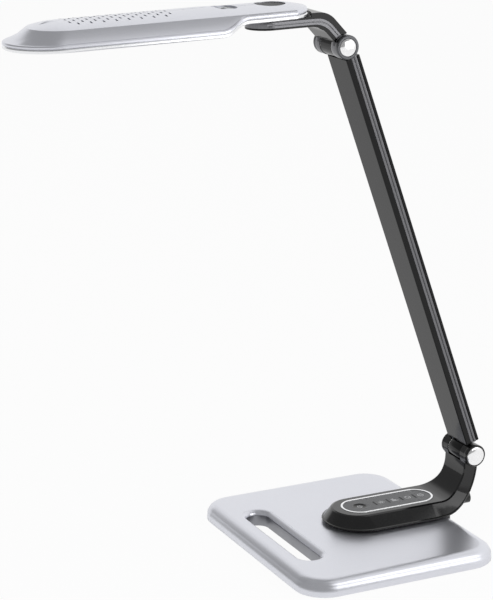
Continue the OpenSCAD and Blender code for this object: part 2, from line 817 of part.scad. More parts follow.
// Children at both screws of both knuckles
module arm_screw_places() {
    for (end = [0, 1]) for (d = arm_screw_d)
        on_arm() translate([0, 0, mix(arm_end + d, arm_len - arm_end - d, end)]) children();
}

// Barrel between the ears, and the tongue that is screwed to the core
module knuckle() {
    difference() {
        union() {
            translate([-knuckle_half, 0, 0]) rotate([0, 90, 0]) cylinder(r = knuckle_r, h = 2 * knuckle_half);
            translate([-knuckle_half, -arm_front + arm_wall + 0.1, 0])
                cube([2 * knuckle_half, web_front + arm_front - arm_wall - 0.2, arm_end + 2]);
            translate([-arm_half + rail_w + 0.2, -arm_front + arm_wall + 0.1, arm_end + 0.1])
                cube([2 * (arm_half - rail_w - 0.2), web_front + arm_front - arm_wall - 0.2, tongue_len]);
        }
        translate([-knuckle_half - past, 0, 0]) rotate([0, 90, 0])
            cylinder(r = axle_r + run_gap, h = 2 * (knuckle_half + past));
        for (d = arm_screw_d) translate([0, web_front - 4.6, arm_end + d]) rotate([-90, 0, 0])
            cylinder(r = pilot_r, h = 6);
    }
}

module lower_knuckle() color(gloss_black) on_arm() knuckle();
module upper_knuckle() color(gloss_black) on_arm() translate([0, 0, arm_len]) mirror([0, 0, 1]) knuckle();

module arm_screws() color(steel) {
    arm_screw_places() {
        translate([0, core_back - arm_head_sink, 0]) rotate([-90, 0, 0])
            cylinder(r = small_head_r, h = arm_head_sink - 0.1);
        translate([0, web_front - 4.4, 0]) rotate([-90, 0, 0])
            cylinder(r = small_screw_r, h = 4.6 + web_t - arm_head_sink);
    }
}

module arm_lead() color(rubber_black) {
    from = arm_end + tongue_len + 0.2;
    on_arm() translate([0, web_front - lead_r - 0.1, from]) cylinder(r = lead_r, h = arm_len - 2 * from);
}

// --------------------------------------------------------------- bracket

// Dips the bracket, and the head on it, about the upper hinge
module on_bracket() {
    translate([0, up_y, up_z]) rotate([nose_dip, 0, 0]) translate([0, -up_y, -up_z]) children();
}

// Side line of one face of the bracket, from its hinge end to its tip: rise of
// its flat part over the hinge, and how deep it lies under the sloping top
function bracket_line(rise, deep) =
    let (along = [-cos(bracket_slope), sin(bracket_slope)],
         foot = (bracket_off - deep) * [sin(bracket_slope), cos(bracket_slope)],
         corner = foot + (rise - foot[1]) / along[1] * along,
         hinge = [up_y, up_z])
    concat([hinge + foot + bracket_from * along],
           curve(hinge + corner - bracket_bend * along, hinge + corner,
                 hinge + corner - [bracket_bend, 0], 8),
           [[tip_y, up_z + rise]]);
bracket_faces = [bracket_line(bracket_rise, 0),
                 bracket_line(bracket_rise - hump_t, hump_t),
                 bracket_line(bracket_rise - hump_t - core_t, hump_t + core_t),
                 bracket_line(bracket_rise - hump_t - core_t - inner_t, hump_t + core_t + inner_slope_t)];

module bracket_plan() {
    translate([0, tip_y + bracket_half]) circle(bracket_half, $fn = 96);
    translate([-bracket_half, tip_y + bracket_half]) square([2 * bracket_half, up_y + barrel_r - tip_y]);
}

// One layer of the bracket, under the given face and over the next one
module bracket_layer(k) {
    intersection() {
        along_x(-bracket_half, bracket_half) polygon(concat(bracket_faces[k], turned(bracket_faces[k + 1])));
        translate([0, 0, up_z]) linear_extrude(bracket_rise + past) bracket_plan();
    }
}

// Round space of the hinge, as wide as the knuckle or as the whole bracket
module knuckle_seat(half) {
    hinge_cylinder(up_y, up_z, -half, half, barrel_r + barrel_gap);
}

module bracket_core() color(dark_grey) on_bracket() {
    difference() {
        union() {
            bracket_layer(1);
            both_sides() hinge_cylinder(up_y, up_z, ear_in, ear_out, barrel_r);
        }
        // Groove between the two ridges of each side
        both_sides() intersection() {
            along_x(bracket_half - ridge_depth, bracket_half + past)
                polygon(concat(bracket_groove(0.42), turned(bracket_groove(0.58))));
            translate([0, 0, up_z + barrel_r]) linear_extrude(bracket_rise) square(300, center = true);
        }
        knuckle_seat(ear_in);
        hinge_cylinder(up_y, up_z, -ear_out - past, ear_out + past, axle_r + 0.02);
        translate([0, head_y, bracket_low]) cylinder(r = stud_r + 0.02, h = bracket_rise);
    }
}

// Line between the two faces of the core, at a share of its thickness
function bracket_groove(f) = [for (i = [0:len(bracket_faces[1]) - 1])
    mix(bracket_faces[1][i], bracket_faces[2][i], f)];

// Outer cover: a full hump at the bend, and a thin skin where the head turns
module bracket_outer_cover() color(gloss_black) on_bracket() {
    difference() {
        bracket_layer(0);
        knuckle_seat(bracket_half + past);
        translate([0, head_y, seat_z]) cylinder(r = seat_r, h = bracket_rise, $fn = 96);
        translate([0, head_y, bracket_low]) cylinder(r = stud_r + slip, h = bracket_rise);
    }
}

module bracket_inner_cover() color(gloss_black) on_bracket() {
    difference() {
        bracket_layer(2);
        knuckle_seat(bracket_half + past);
        translate([0, head_y, bracket_low - past]) cylinder(r = stud_flange_r + 2 * run_gap + 0.1, h = bracket_rise);
    }
}

// Stud that the head turns on, held by its flange under the bracket's core
module head_stud() color(steel) on_bracket() {
    translate([0, head_y, stud_z]) cylinder(r = stud_flange_r, h = stud_flange);
    translate([0, head_y, stud_z]) cylinder(r = stud_r, h = nut_z + nut_t + 0.2 - stud_z);
}

module head_stud_washer() color(milk_white) on_bracket() {
    translate([0, head_y, seat_z]) difference() {
        cylinder(r = stud_washer_r, h = plate_z - seat_z - 0.1);
        translate([0, 0, -past]) cylinder(r = stud_r + slip, h = 3 * past + plate_z - seat_z);
    }
}

module head_stud_nut() color(steel) on_bracket() {
    translate([0, head_y, nut_z]) difference() {
        cylinder(r = stud_nut_r, h = nut_t);
        translate([0, 0, -past]) cylinder(r = stud_r + 0.02, h = nut_t + 2 * past);
    }
}

// ------------------------------------------------------------------ head

// Right side of one ring round the head, from the nose's tip to the tail's
// end: [half width, nose centre, height] deep, then [half width, height] tail
function head_side(wd, nose, zd, wt, zt) = let (rt = wt + tail_r - tail_half) concat(
    [for (i = [0:nose_steps]) let (a = 90 * i / nose_steps - 90)
        [wd * cos(a), nose + wd * sin(a), zd]],
    [for (i = [0:rise_steps]) let (t = ease(i / rise_steps))
        [mix(wd, wt, t), rise_from + rise_len * i / rise_steps, mix(zd, zt, t)]],
    [for (i = [0:end_steps]) let (b = mix(acos(wt / rt), 90, i / end_steps))
        [rt * cos(b), head_y + rt * sin(b), zt]]);
function head_ring(wd, nose, zd, wt, zt) = let (side = head_side(wd, nose, zd, wt, zt))
    concat(side, [for (i = [len(side) - 2:-1:1]) [-side[i][0], side[i][1], side[i][2]]]);

rim_nose = nose_tip + head_half;
crease_nose = nose_tip + crease_back + crease_half;
wall_foot = head_half - rim_step;
// Ring half way up the side wall, which is hollow towards the nose
wall_mid = mix(wall_foot, crease_half, 0.5);
wall_nose = mix(rim_nose, crease_nose, 0.6);
wall_z = mix(lip_top + 0.2, crease_z, 0.42);
function tail_level(f) = mix(frame_top + tail_lift, crease_z, f);
function crown_ring(w, drop) = let (share = 1 - w * w / (crease_half * crease_half))
    head_ring(w, crease_nose, crease_z + crown_h * share - drop, w, crease_z + tail_crown * share - drop);
crown_steps = [crease_half * 0.86, crease_half * 0.68, crease_half * 0.46, crease_half * 0.24, 1.5];

cover_outside = concat([
    head_ring(head_half - 0.7, rim_nose, frame_top + 0.1, tail_half - 0.7, tail_level(0.05)),
    head_ring(head_half, rim_nose, frame_top + 0.9, tail_half, tail_level(0.3)),
    head_ring(head_half, rim_nose, lip_top - 0.9, tail_half, tail_level(0.55)),
    head_ring(head_half - 0.9, rim_nose, lip_top, tail_half - 0.4, tail_level(0.8)),
    head_ring(wall_foot, rim_nose, lip_top + 0.2, tail_half - 0.7, tail_level(0.9)),
    head_ring(wall_mid, wall_nose, wall_z, mix(tail_half - 0.7, crease_half, 0.5), tail_level(0.95)),
    head_ring(crease_half, crease_nose, crease_z, crease_half, crease_z)],
    [for (w = crown_steps) crown_ring(w, 0)]);
cover_inside = concat([
    head_ring(wall_foot - head_wall, rim_nose, frame_top + 0.1, crease_half - 1.8, tail_level(0.05)),
    head_ring(wall_foot - head_wall, rim_nose, lip_top - 0.5, crease_half - 1.8, tail_level(0.2)),
    head_ring(wall_mid - 1.6, wall_nose + 0.6, wall_z - 0.3, crease_half - 1.85, tail_level(0.3)),
    head_ring(crease_half - 1.2, crease_nose, crease_z - 1.4, crease_half - 1.9, tail_level(0.4))],
    [for (w = crown_steps) crown_ring(w - (w > 20 ? 0.6 : 0), head_wall)]);

// Rows of slots, every other row shorter by one and half a pitch further back
module vent_places() {
    for (row = [0:vent_rows - 1]) let (short = (row + floor(vent_rows / 2)) % 2)
        for (i = [0:vent_count - 1 - short])
            translate([(row - (vent_rows - 1) / 2) * vent_row_gap, vent_start + (i + short / 2) * vent_pitch, 0])
                children();
}

module post_places() {
    for (x = [-post_x, post_x], y = [post_front, post_back]) translate([x, y, 0]) children();
}

module head_cover() color(silver) on_bracket() {
    difference() {
        union() {
            loft(concat(turned(cover_inside), cover_outside));
            // Socket of the pivot cap and pad under the badge, inside the crown
            translate([0, cap_disc_y, cap_socket_z]) cylinder(r = cap_disc_r + 2, h = 3);
            translate([-badge_w / 2 - 1.5, badge_y - badge_len / 2 - 1.5, badge_z - 1.6])
                cube([badge_w + 3, badge_len + 3, 3.1]);
            post_places() translate([0, 0, sink_z + sink_t + 0.05])
                cylinder(r = post_r, h = crown_z - 1.2 - sink_z - sink_t);
        }
        vent_places() translate([-vent_len / 2, -vent_w / 2, crown_z - 5]) cube([vent_len, vent_w, 5 + past]);
        translate([0, cap_disc_y, cap_disc_z]) cylinder(r = cap_disc_r + slip, h = 5);
        translate([0, badge_y, badge_z]) linear_extrude(5) rounded_rect(badge_w, badge_len, badge_r);
        post_places() translate([0, 0, sink_z - past]) cylinder(r = pilot_r, h = 8);
    }
}

// Lower frame of the rim with the ledge that holds the diffuser
module head_frame() color(bright) on_bracket() {
    in = head_half - 4;
    tin = tail_half - 4;
    low = head_z;
    high = head_z + tail_lift;
    loft_loop([
        head_ring(head_half - 0.9, rim_nose, low, tail_half - 0.9, high),
        head_ring(head_half, rim_nose, low + 0.9, tail_half, high + 0.9),
        head_ring(head_half, rim_nose, frame_top - 0.8, tail_half, high + frame_h - 0.8),
        head_ring(head_half - 0.7, rim_nose, frame_top, tail_half - 0.7, high + frame_h),
        head_ring(in, rim_nose, frame_top, tin, high + frame_h),
        head_ring(in, rim_nose, low + ledge_t, tin, high + ledge_t),
        head_ring(in - ledge_w, rim_nose, low + ledge_t, tin - ledge_w, high + ledge_t),
        head_ring(in - ledge_w, rim_nose, low, tin - ledge_w, high)]);
}

module inside_plan() {
    polygon([for (p = head_ring(head_half - 4 - slip, rim_nose, 0, tail_half - 4 - slip, 0)) [p[0], p[1]]]);
}

// Lower plate that closes the rise and the tail
module tail_plate() color(silver) on_bracket() {
    low = [for (i = [0:rise_steps]) [rise_from + rise_len * i / rise_steps,
        mix(head_z, head_z + tail_lift, ease(i / rise_steps)) + ledge_t + 0.05]];
    line = concat(low, [[head_y + tail_r, plate_z + 0.05]]);
    difference() {
        intersection() {
            along_x(-head_half, head_half)
                polygon(concat(line, [for (p = turned(line)) [p[0], p[1] + plate_t]]));
            translate([0, 0, head_z]) linear_extrude(crease_h) inside_plan();
        }
        translate([0, head_y, head_z]) cylinder(r = stud_r + run_gap, h = crease_h);
    }
}

module diffuser() color(milk_white) on_bracket() {
    translate([0, 0, head_z + ledge_t]) linear_extrude(diffuser_t) intersection() {
        inside_plan();
        translate([-head_half, nose_tip]) square([2 * head_half, rise_from - slip - nose_tip]);
    }
}

module led_board() color(board_green) on_bracket() {
    difference() {
        translate([-board_half, board_front, board_z]) cube([2 * board_half, board_back - board_front, board_t]);
        post_places() translate([0, 0, board_z - past]) cylinder(r = small_screw_r + slip, h = board_t + 2 * past);
    }
}

module leds() color([1, 0.93, 0.6]) on_bracket() {
    pitch = (board_back - board_front - 14) / (led_count - 1);
    for (x = [-3.2, 3.2], i = [0:led_count - 1])
        translate([x - 1.7, board_front + 7 + i * pitch - 1.4, board_z - 0.8]) cube([3.4, 2.8, 0.8]);
}

module heat_sink() color(steel) on_bracket() {
    from = board_front + 8;
    difference() {
        union() {
            translate([-board_half, from, sink_z]) cube([2 * board_half, board_back - from, sink_t]);
            for (x = fin_x) translate([x - fin_t / 2, from, sink_z]) cube([fin_t, board_back - from, fin_h]);
        }
        post_places() translate([0, 0, sink_z - past]) cylinder(r = small_screw_r + slip, h = sink_t + 2 * past);
    }
}

module head_screws() color(steel) on_bracket() {
    post_places() {
        translate([0, 0, board_z - 1]) cylinder(r = post_r, h = 1);
        translate([0, 0, board_z - 0.1]) cylinder(r = small_screw_r, h = 7);
    }
}

module pivot_cap() color(dark_grey) on_bracket() {
    translate([0, cap_disc_y, cap_disc_z]) cylinder(r = cap_disc_r, h = cap_disc_t);
}

module badge_plate() color(dark_grey) on_bracket() {
    translate([0, badge_y, badge_z]) linear_extrude(0.9)
        rounded_rect(badge_w - 2 * slip, badge_len - 2 * slip, badge_r - slip);
    translate([0, badge_y, badge_z + 0.9]) intersection() {
        translate([0, 0, -0.6 * badge_dome_r]) sphere(badge_dome_r);
        translate([-badge_dome_r - 1, -badge_dome_r - 1, -0.1]) cube(2 * badge_dome_r + 2);
    }
}

base_cover();
base_tray();
base_weight();
base_pads();
base_screws();
plinth();
swivel_stud();
foot_housing();
foot_floor();
foot_screws();
neck_back_cover();
touch_panel();
panel_ring();
control_board();
dc_inlet();
swivel_washer();
swivel_nut();
lower_axle();
lower_washers();
lower_cap_rings();
lower_caps();
arm_core();
arm_front_cover();
arm_back_cover();
lower_knuckle();
upper_knuckle();
arm_screws();
arm_lead();
bracket_core();
bracket_outer_cover();
bracket_inner_cover();
upper_axle();
upper_washers();
upper_cap_rings();
upper_caps();
head_stud();
head_stud_washer();
head_stud_nut();
head_cover();
head_frame();
tail_plate();
diffuser();
led_board();
leds();
heat_sink();
pivot_cap();
badge_plate();
head_screws();
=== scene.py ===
"""Dresses the slotted-base desk lamp: finishes, softened edges, touch signs, hardware and stage."""

import json
import math

import bmesh
import bpy
import numpy as np
from mathutils import Matrix, Vector

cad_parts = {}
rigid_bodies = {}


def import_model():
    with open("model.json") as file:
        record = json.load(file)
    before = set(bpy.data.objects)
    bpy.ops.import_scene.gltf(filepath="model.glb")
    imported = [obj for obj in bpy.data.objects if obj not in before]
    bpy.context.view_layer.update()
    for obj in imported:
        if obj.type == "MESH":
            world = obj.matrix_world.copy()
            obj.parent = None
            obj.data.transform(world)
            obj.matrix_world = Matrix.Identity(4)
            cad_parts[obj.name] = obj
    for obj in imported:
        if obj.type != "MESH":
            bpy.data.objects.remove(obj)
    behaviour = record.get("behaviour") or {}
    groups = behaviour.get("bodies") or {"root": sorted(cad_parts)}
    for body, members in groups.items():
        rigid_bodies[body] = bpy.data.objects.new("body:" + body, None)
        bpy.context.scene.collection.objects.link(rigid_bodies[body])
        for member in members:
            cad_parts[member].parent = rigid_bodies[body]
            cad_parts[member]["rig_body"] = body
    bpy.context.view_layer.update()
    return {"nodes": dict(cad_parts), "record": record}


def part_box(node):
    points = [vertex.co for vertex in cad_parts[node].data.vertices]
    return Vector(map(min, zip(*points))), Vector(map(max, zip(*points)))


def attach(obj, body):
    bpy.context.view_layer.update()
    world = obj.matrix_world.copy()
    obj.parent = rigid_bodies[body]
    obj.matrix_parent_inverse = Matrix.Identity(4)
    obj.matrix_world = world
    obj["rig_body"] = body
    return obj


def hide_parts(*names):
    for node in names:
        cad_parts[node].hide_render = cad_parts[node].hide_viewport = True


bl_info = {
    "name": "Desk Lamp Dresser",
    "version": (1, 0, 0),
    "blender": (4, 5, 0),
    "location": "View3D > Sidebar > Desk Lamp",
    "description": "Dresses the slotted-base desk lamp and sets its stage",
    "category": "Object",
}

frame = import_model()
MM = 0.001
MICRON = 0.000001

# Points closer than this are one, edges shorter than the next are dropped, and a triangle
# thinner than the last is a sliver
WELD = 2 * MICRON
SPECK = 10 * MICRON
SLIVER = 50 * MICRON

# Faces within the first angle count as one plane, and flat faces within the second are joined
SAME_PLANE = math.radians(0.2)
JOINED_PLANE = math.radians(0.4)

# Area in mm2 that no face reaches, so that none counts as truly flat
NEVER_FLAT = 1e6

# Facets across a rounded edge
EDGE_STEPS = 3


# ------------------------------------------------------------------ settings


def colour(name, value, text):
    """A colour setting with its default."""
    return bpy.props.FloatVectorProperty(
        name=name, description=text, default=value, size=3, min=0, max=1, subtype="COLOR"
    )


def length(name, value, text):
    """A length setting, given in millimetres and kept in metres."""
    return bpy.props.FloatProperty(
        name=name, description=text, default=value * MM, min=0, unit="LENGTH", subtype="DISTANCE"
    )


def count(name, value, text):
    """A whole number setting."""
    return bpy.props.IntProperty(name=name, description=text, default=value, min=1)


def level(name, value, text):
    """A plain number setting."""
    return bpy.props.FloatProperty(name=name, description=text, default=value, min=0)


def angle(name, degrees, text):
    """An angle setting, given in degrees and kept in radians."""
    return bpy.props.FloatProperty(
        name=name, description=text, default=math.radians(degrees), subtype="ANGLE", unit="ROTATION"
    )


class LampColours(bpy.types.PropertyGroup):
    """Colours of the lamp's finishes."""

    silver: colour("Silver", (0.75, 0.76, 0.815), "Satin silver of the base and the head")
    rim: colour("Bright rim", (0.90, 0.905, 0.92), "Bright metal of the rim and the panel's ring")
    black: colour("Gloss black", (0.006, 0.006, 0.0065), "Piano black of the foot, arm and bracket")
    core: colour("Core", (0.19, 0.19, 0.20), "Dark metal of the ridged cores")
    cap: colour("Hinge cap", (0.93, 0.93, 0.935), "Domed discs on the hinges")
    panel: colour("Touch panel", (0.085, 0.088, 0.095), "Face of the touch panel")
    sign: colour("Signs", (0.72, 0.73, 0.75), "Printed signs on the touch panel")
    plastic: colour("Dark plastic", (0.035, 0.035, 0.038), "Tray, floor plate and inlet")
    lens: colour("Diffuser", (0.86, 0.86, 0.84), "Opal sheet under the emitters")


class LampEdges(bpy.types.PropertyGroup):
    """Rounded edges, the crown's groove and the base's rim."""

    cover_edge: length("Cover edges", 0.45, "Rounding of the black covers")
    small_edge: length("Small edges", 0.2, "Rounding of rings, caps and small pieces")
    groove_half: length("Groove half width", 1.5, "Half width of the groove that is closed in the crown")
    groove_depth: length("Groove depth", 0.9, "Most that the closed groove lies under the crown")
    rim_zone: length("Base rim", 14.0, "Width of the base's rolled rim, inside which the slot's walls lie")


class LampSigns(bpy.types.PropertyGroup):
    """Signs, dividers and pad of the touch panel."""

    pad_radius: length("Pad radius", 6.0, "Radius of the dished power pad")
    pad_depth: length("Pad depth", 0.75, "Depth of the dished power pad")
    pad_inset: length("Pad inset", 14.8, "From the panel's front end to the pad's centre")
    divider_count: count("Dividers", 4, "Bars between the signs")
    divider_pitch: length("Divider pitch", 13.1, "From one bar to the next")
    first_divider: length("First divider", 29.7, "From the panel's front end to the first bar")
    divider_width: length("Divider width", 8.2, "Length of a bar across the panel")
    divider_line: length("Divider line", 1.3, "Thickness of a bar along the panel")
    sign_size: length("Sign size", 5.6, "Size of one sign")
    sign_line: length("Sign line", 0.62, "Thickness of a sign's strokes")
    print_height: length("Print height", 0.05, "How far bars and signs stand proud")


class LampStage(bpy.types.PropertyGroup):
    """Camera, lights and floor."""

    azimuth: angle("Azimuth", 64.1, "Where the camera stands round the lamp, 0 in front")
    elevation: angle("Elevation", 15.8, "How high the camera looks from")
    distance: length("Distance", 1740, "From the camera to the aimed plane")
    aim_height: length("Aim height", 200, "Height of the aimed point over the table")
    aim_right: bpy.props.FloatProperty(
        name="Aim right", description="Sideways step of the camera", default=-0.086, unit="LENGTH"
    )
    aim_up: bpy.props.FloatProperty(
        name="Aim up", description="Upward step of the camera", default=0.0147, unit="LENGTH"
    )
    lens: level("Lens", 124.08, "Focal length in millimetres on a 36 mm frame")
    sky: level("Sky", 0.62, "Level of the even light from all round")
    near_sky: level("Near sky", 0.33, "Share of the even light on the camera's side")
    band: level("Overhead band", 1.0, "Level of the bright band overhead")
    dark_side: bpy.props.FloatVectorProperty(
        name="Dark side", description="Direction of the darker part of the sky", default=(0.35, -0.75, 0.56)
    )
    key: level("Key", 16.0, "Power of the large soft lamp in front")
    low: level("Low", 1.6, "Power of the small soft lamp beside the base")


GROUPS = {
    "lamp_colours": LampColours,
    "lamp_edges": LampEdges,
    "lamp_signs": LampSigns,
    "lamp_stage": LampStage,
}


# ------------------------------------------------------------------ meshes


def mesh_object(name, mesh):
    """Links a mesh as a new object at the origin."""
    piece = bpy.data.objects.new(name, mesh)
    bpy.context.scene.collection.objects.link(piece)
    return piece


def from_bmesh(name, bm):
    """Turns a bmesh into a linked object."""
    mesh = bpy.data.meshes.new(name)
    bm.to_mesh(mesh)
    bm.free()
    return mesh_object(name, mesh)


def finished(piece):
    """Applies every modifier of a piece."""
    graph = bpy.context.evaluated_depsgraph_get()
    mesh = bpy.data.meshes.new_from_object(piece.evaluated_get(graph), depsgraph=graph)
    old = piece.data
    piece.modifiers.clear()
    piece.data = mesh
    mesh.name = piece.name
    bpy.data.meshes.remove(old)
    return piece


def settled_normals(bm, thin):
    """Normal of every face; one that is only a thin sliver takes its larger neighbour's."""
    found = {}
    for face in bm.faces:
        edges = sorted(face.edges, key=lambda e: e.calc_length())
        found[face] = face.normal.copy()
        if 2 * face.calc_area() < thin * edges[-1].calc_length():
            beside = [f for e in edges[-2:] for f in e.link_faces if f is not face]
            if beside:
                found[face] = max(beside, key=lambda f: f.calc_area()).normal.copy()
    return found


def flat_regions(bm, normal_of, within):
    """Groups faces that lie in one plane: the group of each face, and every group's area and normal."""
    group, areas, normals = {}, [], []
    for seed in bm.faces:
        if seed in group:
            continue
        group[seed], stack, area = len(areas), [seed], 0.0
        while stack:
            face = stack.pop()
            area += face.calc_area()
            for edge in face.edges:
                for other in edge.link_faces:
                    if other not in group and normal_of[other].dot(normal_of[seed]) > within:
                        group[other] = len(areas)
                        stack.append(other)
        areas.append(area)
        normals.append(normal_of[seed])
    return group, areas, normals


def fans(vert, smooth):
    """Splits the corners round a vertex at its sharp edges."""
    left = set(vert.link_faces)
    while left:
        stack = [left.pop()]
        fan = list(stack)
        while stack:
            for edge in stack.pop().edges:
                if vert in edge.verts and edge in smooth:
                    for other in edge.link_faces:
                        if other in left:
                            left.discard(other)
                            fan.append(other)
                            stack.append(other)
        yield fan


def shade(piece, degrees=32, flat_area=12.0):
    """Smooth shading that keeps sharp edges sharp and flat faces, from an area in mm2 up, truly flat."""
    mesh = piece.data
    bm = bmesh.new()
    bm.from_mesh(mesh)
    limit = math.radians(degrees)
    normal_of = settled_normals(bm, SLIVER)
    group, areas, normals = flat_regions(bm, normal_of, math.cos(SAME_PLANE))
    smooth = set()
    for edge in bm.edges:
        if len(edge.link_faces) == 2:
            one, other = (normal_of[face] for face in edge.link_faces)
            if one.angle(other, 0) < limit:
                smooth.add(edge)
    corner = {}
    for vert in bm.verts:
        for fan in fans(vert, smooth):
            widest = max(fan, key=lambda f: areas[group[f]])
            if areas[group[widest]] > flat_area * MM * MM:
                normal = normals[group[widest]]
            else:
                normal = Vector()
                for loop in vert.link_loops:
                    if loop.face in fan:
                        normal += normal_of[loop.face] * loop.calc_angle()
                normal.normalize()
            for face in fan:
                corner[face.index, vert.index] = normal
    bm.free()
    mesh.shade_smooth()
    mesh.set_sharp_from_angle(angle=limit)
    mesh.normals_split_custom_set(
        [corner[face.index, mesh.loops[k].vertex_index] for face in mesh.polygons for k in face.loop_indices]
    )
    return piece


def soften(piece, width, degrees):
    """Rounds the edges of a piece that are sharper than an angle."""
    bevel = piece.modifiers.new("Soft edges", "BEVEL")
    bevel.width = width
    bevel.segments = EDGE_STEPS
    bevel.limit_method = "ANGLE"
    bevel.angle_limit = math.radians(degrees)
    bevel.use_clamp_overlap = True
    finished(piece)


def welded(name, node, join_flats=True):
    """A copy of a solid's mesh with its loose triangles joined, and its flat faces if wished."""
    bm = bmesh.new()
    bm.from_mesh(frame["nodes"][node].data)
    bmesh.ops.remove_doubles(bm, verts=bm.verts, dist=WELD)
    bmesh.ops.dissolve_degenerate(bm, dist=SPECK, edges=bm.edges)
    if join_flats:
        bmesh.ops.dissolve_limit(
            bm, angle_limit=JOINED_PLANE, verts=bm.verts, edges=bm.edges, use_dissolve_boundaries=False
        )
    piece = from_bmesh(name, bm)
    old_normals = piece.data.attributes.get("custom_normal")
    if old_normals:
        piece.data.attributes.remove(old_normals)
    piece.data.materials.clear()
    return piece


def stand_for(piece, node, material):
    """Finishes a piece that replaces a solid and rides where the solid does."""
    piece.data.materials.clear()
    piece.data.materials.append(material)
    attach(piece, frame["nodes"][node]["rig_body"])
    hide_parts(node)
    return piece


def add_on(piece, body, material):
    """Finishes a piece that no solid stands for."""
    piece.data.materials.clear()
    piece.data.materials.append(material)
    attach(piece, body)
    return piece


def paint(node, material):
    """Gives a solid that stays a finish."""
    data = frame["nodes"][node].data
    data.materials.clear()
    data.materials.append(material)


# ------------------------------------------------------------------ materials


class Finish:
    """A material on Object coordinates with a principled shader."""

    def __init__(self, name, base, metallic=0.0, roughness=0.4, **sockets):
        self.material = bpy.data.materials.new(name)
        self.material.use_nodes = True
        self.tree = self.material.node_tree
        self.tree.nodes.clear()
        self.shader = self.tree.nodes.new("ShaderNodeBsdfPrincipled")
        self.out = self.tree.nodes.new("ShaderNodeOutputMaterial")
        self.link(self.shader.outputs["BSDF"], self.out.inputs["Surface"])
        self.place = self.tree.nodes.new("ShaderNodeTexCoord").outputs["Object"]
        self.base = base
        self.shader.inputs["Base Color"].default_value = (*base, 1)
        self.shader.inputs["Metallic"].default_value = metallic
        self.shader.inputs["Roughness"].default_value = roughness
        for key, value in sockets.items():
            self.shader.inputs[key.replace("_", " ")].default_value = value

    def link(self, a, b):
        """Joins an output to an input."""
        self.tree.links.new(a, b)

    def add(self, kind, **values):
        """Adds a node with the given settings."""
        node = self.tree.nodes.new(kind)
        for key, value in values.items():
            setattr(node, key, value)
        return node

    def mapped(self, scale=(1, 1, 1), turn=(0, 0, 0)):
        """Object coordinates, stretched and turned for a pattern."""
        node = self.add("ShaderNodeMapping")
        node.inputs["Scale"].default_value = scale
        node.inputs["Rotation"].default_value = turn
        self.link(self.place, node.inputs["Vector"])
        return node.outputs["Vector"]

    def noise(self, density, detail=2.0, rough=0.5, **where):
        """A cloudy pattern."""
        node = self.add("ShaderNodeTexNoise")
        node.inputs["Scale"].default_value = density
        node.inputs["Detail"].default_value = detail
        node.inputs["Roughness"].default_value = rough
        self.link(self.mapped(**where), node.inputs["Vector"])
        return node.outputs["Fac"]

    def cells(self, density, **where):
        """A pattern of small grains."""
        node = self.add("ShaderNodeTexVoronoi")
        node.inputs["Scale"].default_value = density
        self.link(self.mapped(**where), node.inputs["Vector"])
        return node.outputs["Distance"]

    def span(self, value, low, high):
        """Carries the middle half of a pattern's range over to another range."""
        node = self.add("ShaderNodeMapRange")
        node.inputs["From Min"].default_value = 0.25
        node.inputs["From Max"].default_value = 0.75
        node.inputs["To Min"].default_value = low
        node.inputs["To Max"].default_value = high
        self.link(value, node.inputs["Value"])
        return node.outputs["Result"]

    def tint(self, value, dark, light):
        """Varies the colour with a pattern, as shares of the base colour."""
        ramp = self.add("ShaderNodeValToRGB")
        ramp.color_ramp.elements[0].position = 0.3
        ramp.color_ramp.elements[1].position = 0.7
        ramp.color_ramp.elements[0].color = (*[c * dark for c in self.base], 1)
        ramp.color_ramp.elements[1].color = (*[min(1, c * light) for c in self.base], 1)
        self.link(value, ramp.inputs["Fac"])
        self.link(ramp.outputs["Color"], self.shader.inputs["Base Color"])
        return self

    def polish(self, value, low, high):
        """Varies the roughness with a pattern."""
        self.link(self.span(value, low, high), self.shader.inputs["Roughness"])
        return self

    def relief(self, *layers):
        """Bumps, each (pattern, depth in microns)."""
        last = None
        for value, depth in layers:
            node = self.add("ShaderNodeBump")
            node.inputs["Distance"].default_value = depth * MICRON
            node.inputs["Strength"].default_value = 1.0
            self.link(value, node.inputs["Height"])
            if last is not None:
                self.link(last, node.inputs["Normal"])
            last = node.outputs["Normal"]
        self.link(last, self.shader.inputs["Normal"])
        return self


# Painted shade on the slot's walls: their silver, darkened to this share of the silver's colour
PAINTED_WALL_SHADE = 0.42

# Lean of the arm, along which its core is drawn
DRAWN_LEAN = math.radians(19.8)


